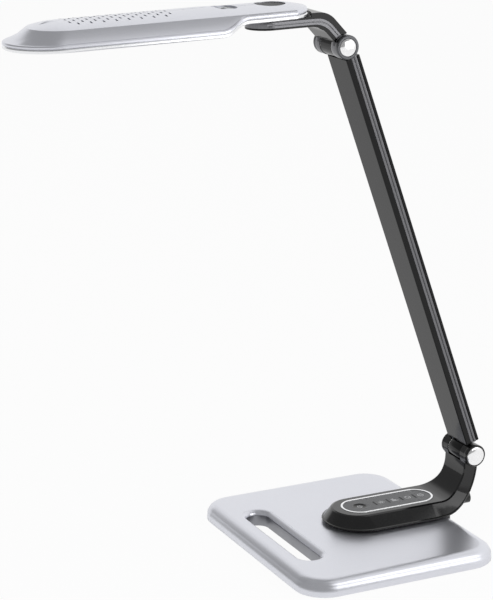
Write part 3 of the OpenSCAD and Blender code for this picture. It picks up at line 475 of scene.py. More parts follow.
def build_finishes(colours):
    """Every finish of the lamp, by name."""
    made = {}

    def keep(name, look):
        made[name] = look.material

    silver = Finish("satin_silver", colours.silver, 0.86, 0.3)
    flakes = silver.cells(2600)
    cloud = silver.noise(16, 3)
    silver.tint(flakes, 0.98, 1.02).polish(cloud, 0.28, 0.33)
    silver.relief((flakes, 3))
    keep("silver_satin", silver)

    # Painted shade: a darker copy of the satin silver, for the slot's walls
    shaded_wall = Finish("slot_wall", [PAINTED_WALL_SHADE * part for part in colours.silver], 0.86, 0.34)
    shaded_wall.tint(shaded_wall.noise(120, 3), 0.92, 1.05).polish(shaded_wall.noise(60, 3), 0.3, 0.4)
    shaded_wall.relief((shaded_wall.cells(2600), 4))
    keep("slot_wall", shaded_wall)

    rim = Finish("bright_metal", colours.rim, 0.95, 0.2)
    rim.tint(rim.noise(700, 2), 0.97, 1.02).polish(rim.noise(60, 3), 0.16, 0.24)
    rim.relief((rim.noise(1500, 2), 4))
    keep("bright_rim", rim)

    for name, shine in (("gloss_black", 1.5), ("arm_black", 1.32)):
        black = Finish(name, colours.black, 0.0, 0.09, IOR=shine)
        black.tint(black.noise(22, 4), 0.85, 1.2).polish(black.noise(48, 5, 0.65), 0.06, 0.12)
        black.relief((black.noise(210, 2), 10))
        keep(name, black)

    core = Finish("drawn_black", colours.core, 0.8, 0.24, IOR=1.4)
    drawn = core.noise(900, 3, scale=(1, 1, 0.02), turn=(-DRAWN_LEAN, 0, 0))
    core.tint(drawn, 0.9, 1.12).polish(drawn, 0.2, 0.28).relief((drawn, 2))
    keep("ridged_core", core)

    cap = Finish("cap_metal", colours.cap, 0.95, 0.14)
    cap.tint(cap.noise(260, 2), 0.97, 1.02).polish(cap.noise(90, 3), 0.1, 0.18)
    cap.relief((cap.noise(1200, 2), 4))
    keep("cap_metal", cap)

    ring = Finish("cap_ring", (0.11, 0.112, 0.118), 0.9, 0.25)
    turned = ring.noise(1100, 2, scale=(0.05, 1, 1))
    ring.tint(turned, 0.9, 1.08).polish(turned, 0.2, 0.32).relief((turned, 5))
    keep("cap_ring", ring)

    panel = Finish("panel_face", colours.panel, 0.1, 0.28, IOR=1.4)
    grain = panel.noise(1800, 2)
    panel.tint(panel.noise(40, 3), 0.92, 1.1).polish(panel.noise(120, 3), 0.24, 0.33)
    panel.relief((grain, 6))
    keep("panel_grey", panel)

    plastic = Finish("moulded_plastic", colours.plastic, 0.0, 0.5)
    spark = plastic.cells(1500)
    plastic.tint(plastic.noise(60, 4), 0.85, 1.2).polish(plastic.noise(30, 3), 0.45, 0.6)
    plastic.relief((spark, 60))
    keep("dark_plastic", plastic)

    steel = Finish("turned_steel", (0.52, 0.53, 0.55), 0.95, 0.32)
    turning = steel.noise(800, 3, scale=(1, 1, 0.15))
    steel.tint(turning, 0.88, 1.08).polish(turning, 0.26, 0.4).relief((turning, 10))
    keep("steel", steel)

    milk = Finish("slip_plastic", (0.80, 0.80, 0.78), 0.0, 0.42, Subsurface_Weight=0.05)
    milk.tint(milk.noise(120, 3), 0.95, 1.03).polish(milk.noise(300, 2), 0.36, 0.5)
    milk.relief((milk.noise(900, 2), 10))
    keep("white_plastic", milk)

    opal = Finish("opal_sheet", colours.lens, 0.0, 0.45, Transmission_Weight=0.15, IOR=1.49)
    dots = opal.cells(700)
    opal.tint(opal.noise(30, 2), 0.98, 1.02).polish(opal.noise(200, 2), 0.4, 0.52)
    opal.relief((dots, 40))
    keep("diffuser_white", opal)

    board = Finish("board_lacquer", (0.02, 0.11, 0.05), 0.0, 0.3, Coat_Weight=0.4)
    tracks = board.noise(140, 1, scale=(1, 0.08, 1))
    board.tint(tracks, 0.7, 1.7).polish(board.noise(300, 2), 0.25, 0.4).relief((tracks, 40))
    keep("board_green", board)

    chip = Finish("emitter_gel", (0.82, 0.62, 0.10), 0.0, 0.35, Subsurface_Weight=0.1)
    chip.tint(chip.noise(1500, 2), 0.92, 1.06).polish(chip.noise(900, 2), 0.3, 0.45)
    chip.relief((chip.noise(2500, 2), 10))
    keep("led_yellow", chip)

    sink = Finish("dark_anodised", (0.035, 0.035, 0.04), 0.8, 0.42)
    pressed = sink.noise(1000, 3, scale=(1, 0.03, 1))
    sink.tint(pressed, 0.85, 1.1).polish(pressed, 0.3, 0.45).relief((pressed, 10))
    keep("sink_aluminium", sink)

    rubber = Finish("soft_rubber", (0.02, 0.02, 0.021), 0.0, 0.72)
    crumb = rubber.cells(1700)
    rubber.tint(rubber.noise(200, 4), 0.8, 1.4).polish(rubber.noise(400, 3), 0.62, 0.8)
    rubber.relief((crumb, 50))
    keep("black_rubber", rubber)

    sign = Finish("printed_sign", colours.sign, 0.0, 0.4)
    sign.tint(sign.noise(2500, 2), 0.93, 1.03).polish(sign.noise(900, 2), 0.35, 0.45)
    keep("printed_sign", sign)
    return made


FINISHES = {}


def finish(name):
    """A finish by name, all of them built at the first call."""
    if not FINISHES:
        FINISHES.update(build_finishes(bpy.context.scene.lamp_colours))
    return FINISHES[name]


def refine(node, slot_name, width=None, degrees=32, flat_area=12.0, material=None):
    """Replaces a solid by its welded copy with soft edges and even shading."""
    piece = welded("dressed_" + node, node, join_flats=bool(width))
    if width:
        soften(piece, width, degrees)
    shade(piece, degrees, flat_area)
    return stand_for(piece, node, finish(material or slot_name))


# ------------------------------------------------------------------ hardware


# Head radius, head thickness and shank radius of each screw, in mm
CASE_SCREW = (3.0, 1.3, 1.48)
ARM_SCREW = (2.6, 1.2, 1.2)
HEAD_SCREW = (2.2, 1.0, 1.2)

# Width, length and thickness of an emitter
EMITTER = (3.4 * MM, 2.8 * MM, 0.8 * MM)

# Bowl of the power pad, as shares of its radius and depth, closed above the panel's face
BOWL = ((0, -0.92), (0.5, -1.0), (0.74, -0.9), (0.9, -0.5), (1.0, 0.0), (1.06, 0.5), (0, 0.5))

# A face of the base whose normal rises by less than this stands upright
UPRIGHT = 0.35

# Angle in degrees under which the moulded shells are shaded smooth
SHELL_ANGLE = 14


def lathe(bm, profile, steps=32):
    """Turns a profile of (radius, height) round Z, closed at both ends on the axis."""
    rings = []
    for radius, height in profile:
        if radius == 0:
            rings.append([bm.verts.new((0, 0, height))])
        else:
            turns = (2 * math.pi * k / steps for k in range(steps))
            rings.append([bm.verts.new((radius * math.cos(a), radius * math.sin(a), height)) for a in turns])
    for low, high in zip(rings, rings[1:]):
        for k in range(steps):
            m = (k + 1) % steps
            corners = [low[k % len(low)], low[m % len(low)], high[m % len(high)], high[k % len(high)]]
            bm.faces.new(list(dict.fromkeys(corners)))
    bmesh.ops.recalc_face_normals(bm, faces=bm.faces)


def box(bm, low, high):
    """Adds a closed box."""
    made = bmesh.ops.create_cube(bm, size=1)["verts"]
    size = [b - a for a, b in zip(low, high)]
    bmesh.ops.scale(bm, vec=size, verts=made)
    bmesh.ops.translate(bm, vec=[(a + b) / 2 for a, b in zip(low, high)], verts=made)
    return made


def cut(piece, cutter, crossing=False):
    """Takes a closed shape out of a piece, also one whose own parts cross."""
    tool = piece.modifiers.new("Cut", "BOOLEAN")
    tool.object, tool.solver, tool.use_self = cutter, "EXACT", crossing
    finished(piece)
    bpy.data.objects.remove(cutter)


def screw_shape(head_r, head_t, shank_r, shank_len):
    """Screw that drives from below: a soft head at the origin with a cross recess, its shank upwards."""
    edge, tip = 0.3 * head_t, head_t + shank_len
    bm = bmesh.new()
    lathe(bm, [
        (0, 0), (head_r - edge, 0), (head_r - edge * 0.3, edge * 0.3), (head_r, edge),
        (head_r, head_t), (shank_r, head_t), (shank_r, tip - shank_r), (0, tip),
    ])
    piece = from_bmesh("screw_blank", bm)
    bm = bmesh.new()
    arm, half, deep = head_r * 0.62, head_r * 0.13, head_t * 0.6
    box(bm, (-arm, -half, -deep), (arm, half, deep))
    box(bm, (-half, -arm, -deep), (half, arm, deep * 1.001))
    cut(piece, from_bmesh("cross_recess", bm), crossing=True)
    return piece


def emitter_shape(wide, long, tall):
    """Light emitter: a thin block with a shallow well of gel that faces down."""
    bm = bmesh.new()
    box(bm, (-wide / 2, -long / 2, -tall), (wide / 2, long / 2, 0))
    low = min(bm.faces, key=lambda f: f.calc_center_median().z)
    bmesh.ops.inset_individual(bm, faces=[low], thickness=0.25 * long)
    bmesh.ops.translate(bm, vec=(0, 0, tall * 0.25), verts=low.verts)
    return from_bmesh("emitter_blank", bm)


def islands(node, back):
    """The separate solids of a node, each as (centre, lowest, highest) in a frame undone by a matrix."""
    bm = bmesh.new()
    bm.from_mesh(frame["nodes"][node].data)
    bmesh.ops.remove_doubles(bm, verts=bm.verts, dist=WELD)
    left, found = set(bm.verts), []
    while left:
        stack = [left.pop()]
        group = list(stack)
        while stack:
            for edge in stack.pop().link_edges:
                for vert in edge.verts:
                    if vert in left:
                        left.discard(vert)
                        group.append(vert)
                        stack.append(vert)
        places = [back @ v.co for v in group]
        low = [min(p[k] for p in places) for k in range(3)]
        high = [max(p[k] for p in places) for k in range(3)]
        found.append((Vector([(a + b) / 2 for a, b in zip(low, high)]), low[2], high[2]))
    bm.free()
    return found


class NodeTree:
    """A Geometry Nodes tree with named inputs, whose values are set by socket identifier."""

    def __init__(self, name, **inputs):
        self.group = bpy.data.node_groups.new(name, "GeometryNodeTree")
        face = self.group.interface
        face.new_socket("Geometry", in_out="OUTPUT", socket_type="NodeSocketGeometry")
        self.names = {}
        for key, kind in {"Geometry": "Geometry", **inputs}.items():
            self.names[key] = face.new_socket(key, in_out="INPUT", socket_type="NodeSocket" + kind).identifier
        self.given = self.group.nodes.new("NodeGroupInput").outputs

    def add(self, kind, **links):
        """Adds a node and feeds its inputs from sockets or plain values."""
        node = self.group.nodes.new(kind)
        for key, value in links.items():
            socket = node.inputs[key.replace("_", " ")]
            if isinstance(value, bpy.types.NodeSocket):
                self.group.links.new(value, socket)
            else:
                socket.default_value = value
        return node

    def finish(self, geometry, material):
        """Ends the tree in plain, finished geometry."""
        real = self.add("GeometryNodeRealizeInstances", Geometry=geometry)
        last = self.add("GeometryNodeSetMaterial", Geometry=real.outputs[0], Material=material)
        out = self.group.nodes.new("NodeGroupOutput")
        self.group.links.new(last.outputs[0], out.inputs[0])

    def grow(self, piece, **values):
        """Runs the tree on a piece and keeps the result as its plain mesh."""
        modifier = piece.modifiers.new(self.group.name, "NODES")
        modifier.node_group = self.group
        for key, value in values.items():
            modifier[self.names[key.replace("_", " ")]] = value
        return finished(piece)


def repeat_tree():
    """Tree that sets a shape on every point, turned alike and spun by chance about its own axis."""
    tree = NodeTree(
        "Repeat on points", Shape="Object", Finish="Material", Turn="Rotation", Spin="Float", Seed="Int"
    )
    given = tree.given
    points = tree.add("GeometryNodeMeshToPoints", Mesh=given["Geometry"])
    shape = tree.add("GeometryNodeObjectInfo", Object=given["Shape"])
    placed = tree.add(
        "GeometryNodeInstanceOnPoints",
        Points=points.outputs[0], Instance=shape.outputs["Geometry"], Rotation=given["Turn"],
    )
    chance = tree.group.nodes.new("FunctionNodeRandomValue")
    chance.data_type = "FLOAT"
    floats = [i for i in chance.inputs if i.type == "VALUE"]
    tree.group.links.new(given["Spin"], floats[1])
    tree.group.links.new(given["Seed"], chance.inputs["Seed"])
    spin = tree.add("ShaderNodeCombineXYZ")
    value = next(o for o in chance.outputs if o.type == "VALUE")
    tree.group.links.new(value, spin.inputs["Z"])
    turned = tree.add("GeometryNodeRotateInstances", Instances=placed.outputs[0], Rotation=spin.outputs[0])
    turned.inputs["Local Space"].default_value = True
    tree.finish(turned.outputs[0], given["Finish"])
    return tree


def repeated(name, places, shape, material, turn, spin=0.0):
    """One mesh of a shape repeated at places, turned about X."""
    mesh = bpy.data.meshes.new(name)
    mesh.from_pydata([tuple(p) for p in places], [], [])
    piece = mesh_object(name, mesh)
    repeat_tree().grow(piece, Shape=shape, Finish=material, Turn=(turn, 0, 0), Spin=spin, Seed=7)
    bpy.data.objects.remove(shape)
    return piece


def row_tree():
    """Tree of equal bars in a row along Y."""
    tree = NodeTree(
        "Row of bars", Size="Vector", Number="Int", Pitch="Vector", Start="Vector", Finish="Material"
    )
    given = tree.given
    bar = tree.add("GeometryNodeMeshCube", Size=given["Size"])
    line = tree.add(
        "GeometryNodeMeshLine", Count=given["Number"], Start_Location=given["Start"], Offset=given["Pitch"]
    )
    placed = tree.add("GeometryNodeInstanceOnPoints", Points=line.outputs[0], Instance=bar.outputs[0])
    tree.finish(placed.outputs[0], given["Finish"])
    return tree


def stroke(bm, start, end, width, low, high):
    """A straight stroke of a printed sign, as a thin closed bar."""
    start, end = Vector(start), Vector(end)
    made = box(bm, (-width / 2, -width / 2, low), ((end - start).length + width / 2, width / 2, high))
    turn = Matrix.Rotation(math.atan2(end.y - start.y, end.x - start.x), 4, "Z")
    bmesh.ops.transform(bm, matrix=Matrix.Translation((start.x, start.y, 0)) @ turn, verts=made)


def round_stroke(bm, centre, radius, width, low, high, first=0.0, last=2 * math.pi, steps=28):
    """A round stroke of a printed sign: an arc, or a ring when it closes."""
    closed = last - first > 2 * math.pi - 1e-6
    rings = []
    for k in range(steps if closed else steps + 1):
        a = first + (last - first) * k / steps
        spots = [(r, z) for z in (low, high) for r in (radius - width / 2, radius + width / 2)]
        corner = [(centre[0] + r * math.cos(a), centre[1] + r * math.sin(a), z) for r, z in spots]
        rings.append([bm.verts.new(c) for c in corner])
    pairs = list(zip(rings, rings[1:])) + ([(rings[-1], rings[0])] if closed else [])
    for a, b in pairs:
        for m, n in ((0, 1), (1, 3), (3, 2), (2, 0)):
            bm.faces.new((a[m], a[n], b[n], b[m]))
    if not closed:
        for ring in (rings[0], rings[-1]):
            bm.faces.new((ring[0], ring[1], ring[3], ring[2]))


def sun_sign(bm, x, y, size, line, low, high):
    """Brightness: a ring with rays."""
    round_stroke(bm, (x, y), size * 0.2, line, low, high)
    for k in range(8):
        a = math.pi * k / 4
        near, far = size * 0.36, size * 0.5
        ends = [(x + r * math.cos(a), y + r * math.sin(a)) for r in (near, far)]
        stroke(bm, *[(*e, 0) for e in ends], line * 0.8, low, high)


def bars_sign(bm, x, y, size, line, low, high):
    """Light level: three bars that grow."""
    for k in range(3):
        left = x + (k - 1) * size * 0.34
        stroke(bm, (left, y - size * 0.42, 0), (left, y + size * (0.28 * k - 0.14), 0), line * 1.8, low, high)


def clock_sign(bm, x, y, size, line, low, high):
    """Timer: a ring with two hands."""
    round_stroke(bm, (x, y), size * 0.44, line, low, high)
    stroke(bm, (x, y, 0), (x, y + size * 0.28, 0), line * 0.9, low, high)
    stroke(bm, (x, y, 0), (x + size * 0.2, y, 0), line * 0.9, low, high)


def tone_sign(bm, x, y, size, line, low, high):
    """Light colour: a ring with a cross."""
    round_stroke(bm, (x, y), size * 0.46, line, low, high)
    stroke(bm, (x - size * 0.22, y, 0), (x + size * 0.22, y, 0), line, low, high)
    stroke(bm, (x, y - size * 0.22, 0), (x, y + size * 0.22, 0), line, low, high)


def about(place, lean):
    """Matrix of a turn about X through a place."""
    centre = Matrix.Translation(place)
    return centre @ Matrix.Rotation(lean, 4, "X") @ centre.inverted()


def hinge_place(name):
    """Where a joint's axis passes the plane of symmetry."""
    return Vector(next(j for j in frame["record"]["behaviour"]["joints"] if j["name"] == name)["pos_m"])


def arm_frame():
    """The lean of the arm and its lower hinge."""
    low, up = hinge_place("arm_tilt"), hinge_place("head_tilt")
    return low, math.atan2(low.y - up.y, up.z - low.z)


def head_frame():
    """The dip of the head and the upper hinge that it dips about."""
    axis = next(j for j in frame["record"]["behaviour"]["joints"] if j["name"] == "head_swivel")["axis"]
    return hinge_place("head_tilt"), math.atan2(-axis[1], axis[2])


def close_groove(piece, half, deep):
    """Lifts the floor of the shallow groove in the middle of the head's crown up to the crown."""
    place, dip = head_frame()
    stand = about(place, dip)
    back = stand.inverted()
    bm = bmesh.new()
    bm.from_mesh(piece.data)
    spots = {vert: back @ vert.co for vert in bm.verts}
    crown = max(spot.z for spot in spots.values())
    banks = {}
    for spot in spots.values():
        if abs(abs(spot.x) - half) < SLIVER and spot.z > crown - 1.5 * deep:
            banks[spot.y] = max(spot.z, banks.get(spot.y, spot.z))
    places = sorted(banks)
    end = sum(corner[1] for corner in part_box("badge_plate")) / 2
    for vert, spot in spots.items():
        if spot.y > end:
            continue
        top = float(np.interp(spot.y, places, [banks[y] for y in places]))
        if abs(spot.x) < half - SLIVER and top - deep < spot.z < top:
            vert.co = stand @ Vector((spot.x, spot.y, top))
    bmesh.ops.remove_doubles(bm, verts=bm.verts, dist=WELD)
    bmesh.ops.dissolve_degenerate(bm, dist=SPECK, edges=bm.edges)
    bm.to_mesh(piece.data)
    bm.free()


def dress_screws(node, sizes, place=(0, 0, 0), lean=0.0, upright=True):
    """Replaces a group of screws; upright ones are driven from below, the others from the back."""
    head_r, head_t, shank_r = (size * MM for size in sizes)
    stand = about(Vector(place), lean)
    if not upright:
        stand = stand @ Matrix.Translation(place) @ Matrix.Rotation(math.pi / 2, 4, "X")
        stand = stand @ Matrix.Translation(place).inverted()
    spots = islands(node, stand.inverted())
    tall = max(high - low for _, low, high in spots)
    shape = screw_shape(head_r, head_t, shank_r, tall - head_t)
    places = [stand @ Vector((c.x, c.y, low)) for c, low, _ in spots]
    turn = lean + (0 if upright else math.pi / 2)
    piece = repeated("dressed_" + node, places, shape, finish("steel"), turn, math.pi / 2)
    shade(piece, 35, 1.0)
    return stand_for(piece, node, finish("steel"))


# ------------------------------------------------------------------ operators


class DressBase(bpy.types.Operator):
    """Dress the base plate, its tray, pads and plinth"""

    bl_idname = "desk_lamp.dress_base"
    bl_label = "Dress base"

    def execute(self, context):
        edges = context.scene.lamp_edges
        cover = refine("base_cover", "silver_satin", degrees=50, flat_area=2500)
        # Painted shade: the upright faces inside the rim, the slot's walls, take the darker copy of the
        # silver
        cover.data.materials.append(finish("slot_wall"))
        low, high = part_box("base_cover")
        for part in cover.data.polygons:
            inside = min(part.center.x - low[0], high[0] - part.center.x) > edges.rim_zone
            inside = inside and min(part.center.y - low[1], high[1] - part.center.y) > edges.rim_zone
            if inside and abs(part.normal.z) < UPRIGHT:
                part.material_index = 1
        refine("base_tray", "dark_plastic", edges.small_edge)
        refine("plinth", "gloss_black", edges.cover_edge)
        refine("base_pads", "black_rubber", edges.cover_edge)
        paint("base_weight", finish("steel"))
        dress_screws("base_screws", CASE_SCREW)
        paint("swivel_stud", finish("steel"))
        paint("swivel_washer", finish("white_plastic"))
        paint("swivel_nut", finish("steel"))
        return {"FINISHED"}


class DressFoot(bpy.types.Operator):
    """Dress the foot housing with its neck and inlet"""

    bl_idname = "desk_lamp.dress_foot"
    bl_label = "Dress foot"

    def execute(self, context):
        edges = context.scene.lamp_edges
        refine("foot_housing", "gloss_black", degrees=SHELL_ANGLE, flat_area=500)
        refine("neck_back_cover", "gloss_black", edges.small_edge, material="arm_black")
        refine("foot_floor", "dark_plastic")
        refine("dc_inlet", "dark_plastic", edges.small_edge)
        dress_screws("foot_screws", CASE_SCREW)
        paint("control_board", finish("board_green"))
        return {"FINISHED"}


class DressPanel(bpy.types.Operator):
    """Dress the touch panel and its ring"""

    bl_idname = "desk_lamp.dress_panel"
    bl_label = "Dress touch panel"

    def execute(self, context):
        edges, signs = context.scene.lamp_edges, context.scene.lamp_signs
        low, high = (Vector(corner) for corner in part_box("touch_panel"))
        face, front = high.z, low.y
        centre = Vector((0, front + signs.pad_inset, face))

        # The plate, with a bowl for the power pad
        panel = welded("dressed_touch_panel", "touch_panel")
        bm = bmesh.new()
        bowl = signs.pad_radius
        lathe(bm, [(r * bowl, z * signs.pad_depth) for r, z in BOWL], steps=64)
        bmesh.ops.translate(bm, vec=centre, verts=bm.verts)
        cut(panel, from_bmesh("pad_bowl", bm))
        stand_for(shade(panel, 30), "touch_panel", finish("panel_grey"))
        panel.data.materials.append(finish("arm_black"))
        for part in panel.data.polygons:
            spot = part.center - centre
            if spot.xy.length < bowl and -signs.pad_depth * 1.1 < spot.z < -signs.pad_depth * 0.02:
                part.material_index = 1

        # Bars between the keys
        thick = 2 * signs.print_height
        bars = mesh_object("panel_dividers", bpy.data.meshes.new("panel_dividers"))
        row_tree().grow(
            bars,
            Size=(signs.divider_width, signs.divider_line, thick), Number=signs.divider_count,
            Pitch=(0, signs.divider_pitch, 0), Start=(0, front + signs.first_divider, face),
            Finish=finish("black_rubber"),
        )
        add_on(bars, frame["nodes"]["touch_panel"]["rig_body"], finish("black_rubber"))

        # One sign after each bar, and one in the bowl
        bm = bmesh.new()
        layer = (face - signs.print_height, face + signs.print_height)
        for k, sign in enumerate((sun_sign, bars_sign, clock_sign, tone_sign)):
            y = front + signs.first_divider + (k + 0.5) * signs.divider_pitch
            sign(bm, 0, y, signs.sign_size, signs.sign_line, *layer)
        floor = face - signs.pad_depth
        layer = (floor - signs.print_height, floor + 0.16 * signs.pad_depth + signs.print_height)
        gap = math.radians(35)
        size = signs.sign_size * 0.36
        turns = (math.pi / 2 + gap, 2.5 * math.pi - gap)
        round_stroke(bm, (centre.x, centre.y), size, signs.sign_line, *layer, *turns)
        stroke(bm, centre, centre + Vector((0, size * 1.2, 0)), signs.sign_line, *layer)
        bmesh.ops.recalc_face_normals(bm, faces=bm.faces)
        prints = from_bmesh("panel_signs", bm)
        add_on(prints, frame["nodes"]["touch_panel"]["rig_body"], finish("printed_sign"))

        refine("panel_ring", "bright_rim", edges.small_edge)
        return {"FINISHED"}


class DressHinges(bpy.types.Operator):
    """Dress both hinges: caps, rings, washers and axles"""

    bl_idname = "desk_lamp.dress_hinges"
    bl_label = "Dress hinges"

    def execute(self, context):
        edges = context.scene.lamp_edges
        for end, ring in (("lower", "gloss_black"), ("upper", "cap_ring")):
            refine(end + "_cap_rings", ring, edges.small_edge)
            refine(end + "_caps", "cap_metal", degrees=40)
            paint(end + "_axle", finish("steel"))
            paint(end + "_washers", finish("white_plastic"))
        return {"FINISHED"}


class DressArm(bpy.types.Operator):
    """Dress the arm: covers, ridged core and knuckles"""

    bl_idname = "desk_lamp.dress_arm"
    bl_label = "Dress arm"

    def execute(self, context):
        edges = context.scene.lamp_edges
        refine("arm_front_cover", "gloss_black", edges.cover_edge, 50, material="arm_black")
        refine("arm_back_cover", "gloss_black", edges.cover_edge, 50, material="arm_black")
        refine("arm_core", "ridged_core")
        refine("lower_knuckle", "gloss_black", edges.small_edge, material="arm_black")
        refine("upper_knuckle", "gloss_black", edges.small_edge, material="arm_black")
        dress_screws("arm_screws", ARM_SCREW, *arm_frame(), upright=False)
        paint("arm_lead", finish("black_rubber"))
        return {"FINISHED"}


class DressBracket(bpy.types.Operator):
    """Dress the bracket that carries the head"""

    bl_idname = "desk_lamp.dress_bracket"
    bl_label = "Dress bracket"

    def execute(self, context):
        edges = context.scene.lamp_edges
        refine("bracket_outer_cover", "gloss_black", edges.small_edge, material="arm_black")
        refine("bracket_inner_cover", "gloss_black", edges.small_edge, material="arm_black")
        refine("bracket_core", "ridged_core", edges.small_edge)
        paint("head_stud", finish("steel"))
        paint("head_stud_washer", finish("white_plastic"))
        paint("head_stud_nut", finish("steel"))
        return {"FINISHED"}


class DressHead(bpy.types.Operator):
    """Dress the head: cover, frame, plates and what is inside"""

    bl_idname = "desk_lamp.dress_head"
    bl_label = "Dress head"

    def execute(self, context):
        edges = context.scene.lamp_edges
        cover = welded("dressed_head_cover", "head_cover", join_flats=False)
        close_groove(cover, edges.groove_half, edges.groove_depth)
        stand_for(shade(cover, SHELL_ANGLE, NEVER_FLAT), "head_cover", finish("silver_satin"))
        refine("head_frame", "bright_rim", degrees=30, flat_area=NEVER_FLAT)
        refine("tail_plate", "silver_satin")
        refine("diffuser", "diffuser_white", edges.small_edge)
        refine("pivot_cap", "dark_plastic", edges.small_edge)
        refine("badge_plate", "dark_plastic", edges.small_edge, material="steel")
        paint("led_board", finish("board_green"))
        place, dip = head_frame()
        stand = about(place, dip)
        spots = islands("leds", stand.inverted())
        shape = emitter_shape(*EMITTER)
        places = [stand @ Vector((c.x, c.y, high)) for c, _, high in spots]
        emitters = repeated("dressed_leds", places, shape, finish("led_yellow"), dip)
        stand_for(shade(emitters, 20, 1.0), "leds", finish("led_yellow"))
        paint("heat_sink", finish("sink_aluminium"))
        dress_screws("head_screws", HEAD_SCREW, place, dip)
        return {"FINISHED"}


# Name, place, aimed point and size of each large lamp, and its share of the key's power
LARGE_LAMPS = (
    ("key", (0.9, -1.9, 1.6), (0, -0.05, 0.15), (1.6, 1.6), 1.0),
    ("fill", (-1.8, -0.8, 1.5), (0, -0.05, 0.2), (1.2, 1.8), 0.35),
    ("side", (2.1, 0.3, 0.8), (0, -0.05, 0.1), (1.6, 1.0), 0.15),
)

# Where the sky fades towards its darker part, and where the overhead band lies and begins and
# ends, as cosines of the angle from each direction
FADE = (-0.05, 0.17)
BAND_WAY = Vector((0.1, 0.42, 0.9)).normalized()
BAND = (0.935, 0.99)

# Level of the floor as it is seen, and as gloss mirrors it
FLOOR_SEEN = 0.95
FLOOR_MIRRORED = 0.88


def camera_axes(azimuth, elevation):
    """Unit vectors to the right, up and back of a camera at these angles."""
    run = math.cos(elevation)
    back = Vector((math.sin(azimuth) * run, -math.cos(azimuth) * run, math.sin(elevation)))
    right = Vector((math.cos(azimuth), math.sin(azimuth), 0))
    return right, back.cross(right), back


def soft_lamp(name, place, aim, size, power, glossy=False):
    """A large rectangular lamp turned to a point, mirrored in gloss only where asked."""
    data = bpy.data.lights.new(name, "AREA")
    data.shape = "RECTANGLE"
    data.size, data.size_y = size
    data.energy = power
    lamp = bpy.data.objects.new(name, data)
    lamp.visible_glossy = glossy
    lamp.visible_camera = False
    lamp.location = place
    lamp.rotation_euler = (Vector(aim) - Vector(place)).to_track_quat("-Z", "Y").to_euler()
    bpy.context.scene.collection.objects.link(lamp)


def shown_level(tree, plain, shown, mirrored=None):
    """A number that is plain for lighting, shown for what is seen and mirrored in gloss and glass."""
    path = tree.nodes.new("ShaderNodeLightPath")
    number = None
    for ray, value in (
        ("Is Glossy Ray", shown if mirrored is None else mirrored),
        ("Is Transmission Ray", shown),
        ("Is Camera Ray", shown),
    ):
        pick = tree.nodes.new("ShaderNodeMapRange")
        pick.inputs["To Min"].default_value = plain
        pick.inputs["To Max"].default_value = value
        if number is not None:
            tree.links.new(number, pick.inputs["To Min"])
        tree.links.new(path.outputs[ray], pick.inputs["Value"])
        number = pick.outputs["Result"]
    return number


def towards(tree, view, way, span, low, high):
    """A number that goes smoothly from low to high as the view turns towards a direction."""
    side = tree.nodes.new("ShaderNodeVectorMath")
    side.operation = "DOT_PRODUCT"
    side.inputs[1].default_value = way
    tree.links.new(view, side.inputs[0])
    fade = tree.nodes.new("ShaderNodeMapRange")
    fade.interpolation_type = "SMOOTHSTEP"
    for key, value in zip(("From Min", "From Max", "To Min", "To Max"), (*span, low, high)):
        fade.inputs[key].default_value = value
    tree.links.new(side.outputs["Value"], fade.inputs["Value"])
    return fade.outputs["Result"]


def larger(tree, one, other):
    """The larger of two numbers."""
    node = tree.nodes.new("ShaderNodeMath")
    node.operation = "MAXIMUM"
    tree.links.new(one, node.inputs[0])
    tree.links.new(other, node.inputs[1])
    return node.outputs[0]


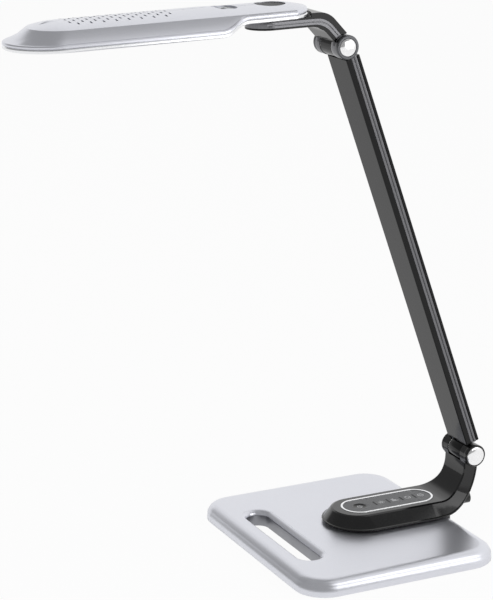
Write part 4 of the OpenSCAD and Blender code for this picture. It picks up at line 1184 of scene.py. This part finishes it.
class SetStage(bpy.types.Operator):
    """Set the floor, the lights and the camera"""

    bl_idname = "desk_lamp.set_stage"
    bl_label = "Set stage"

    def execute(self, context):
        scene, stage = context.scene, context.scene.lamp_stage
        scene.view_settings.view_transform = "Standard"

        world = bpy.data.worlds.new("Studio")
        scene.world = world
        world.use_nodes = True
        tree = world.node_tree
        tree.nodes.clear()
        sky = tree.nodes.new("ShaderNodeBackground")
        view = tree.nodes.new("ShaderNodeTexCoord").outputs["Generated"]
        seen = tree.nodes.new("ShaderNodeLightPath").outputs["Is Camera Ray"]
        fade = towards(tree, view, stage.dark_side, FADE, 1.0, stage.near_sky)
        band = towards(tree, view, BAND_WAY, BAND, 0.0, stage.band)
        tree.links.new(larger(tree, larger(tree, fade, band), seen), sky.inputs["Color"])
        tree.links.new(shown_level(tree, stage.sky, 1.0), sky.inputs["Strength"])
        out = tree.nodes.new("ShaderNodeOutputWorld")
        tree.links.new(sky.outputs[0], out.inputs["Surface"])

        bm = bmesh.new()
        bmesh.ops.create_grid(bm, x_segments=1, y_segments=1, size=9)
        floor = from_bmesh("floor", bm)
        floor.data.materials.append(self.floor_finish())

        for name, place, aim, size, share in LARGE_LAMPS:
            soft_lamp(name, place, aim, size, stage.key * share)
        soft_lamp("low", (0.62, 0.36, 0.5), (0.1, 0, 0), (0.6, 0.5), stage.low, glossy=True)

        right, up, back = camera_axes(stage.azimuth, stage.elevation)
        data = bpy.data.cameras.new("Camera")
        data.lens = stage.lens
        data.sensor_width = 36
        data.clip_start, data.clip_end = 0.05, 40
        camera = bpy.data.objects.new("Camera", data)
        camera.matrix_world = Matrix.Translation(
            Vector((0, 0, stage.aim_height))
            + back * stage.distance
            + right * stage.aim_right
            + up * stage.aim_up
        ) @ Matrix((right, up, back)).transposed().to_4x4()
        scene.collection.objects.link(camera)
        scene.camera = camera
        return {"FINISHED"}

    def floor_finish(self):
        """Pale floor: seen as near white, with the lamp's shadow kept."""
        material = bpy.data.materials.new("pale_floor")
        material.use_nodes = True
        tree = material.node_tree
        tree.nodes.clear()
        matt = tree.nodes.new("ShaderNodeBsdfDiffuse")
        matt.inputs["Color"].default_value = (0.86, 0.86, 0.86, 1)
        glow = tree.nodes.new("ShaderNodeEmission")
        glow.inputs["Color"].default_value = (1, 1, 1, 1)
        blend = tree.nodes.new("ShaderNodeMixShader")
        tree.links.new(shown_level(tree, 0.0, FLOOR_SEEN, FLOOR_MIRRORED), blend.inputs["Fac"])
        tree.links.new(matt.outputs[0], blend.inputs[1])
        tree.links.new(glow.outputs[0], blend.inputs[2])
        out = tree.nodes.new("ShaderNodeOutputMaterial")
        tree.links.new(blend.outputs[0], out.inputs["Surface"])
        return material


PIECES = (DressBase, DressFoot, DressPanel, DressHinges, DressArm, DressBracket, DressHead)


class LampPanel(bpy.types.Panel):
    """The lamp's settings and the buttons that dress it"""

    bl_idname = "VIEW3D_PT_desk_lamp"
    bl_label = "Desk Lamp"
    bl_space_type = "VIEW_3D"
    bl_region_type = "UI"
    bl_category = "Desk Lamp"

    def draw(self, context):
        for operator in (*PIECES, SetStage):
            self.layout.operator(operator.bl_idname)
        for key, group in GROUPS.items():
            part = self.layout.box()
            part.label(text=group.__doc__)
            for prop in group.__annotations__:
                part.prop(getattr(context.scene, key), prop)


CLASSES = (*GROUPS.values(), *PIECES, SetStage, LampPanel)


def register():
    for cls in CLASSES:
        bpy.utils.register_class(cls)
    for key, group in GROUPS.items():
        setattr(bpy.types.Scene, key, bpy.props.PointerProperty(type=group))


def unregister():
    for key in GROUPS:
        delattr(bpy.types.Scene, key)
    for cls in reversed(CLASSES):
        bpy.utils.unregister_class(cls)


def main():
    register()
    bpy.ops.desk_lamp.set_stage()
    for operator in PIECES:
        getattr(bpy.ops.desk_lamp, operator.bl_idname.split(".")[1])()


if __name__ == "__main__":
    main()
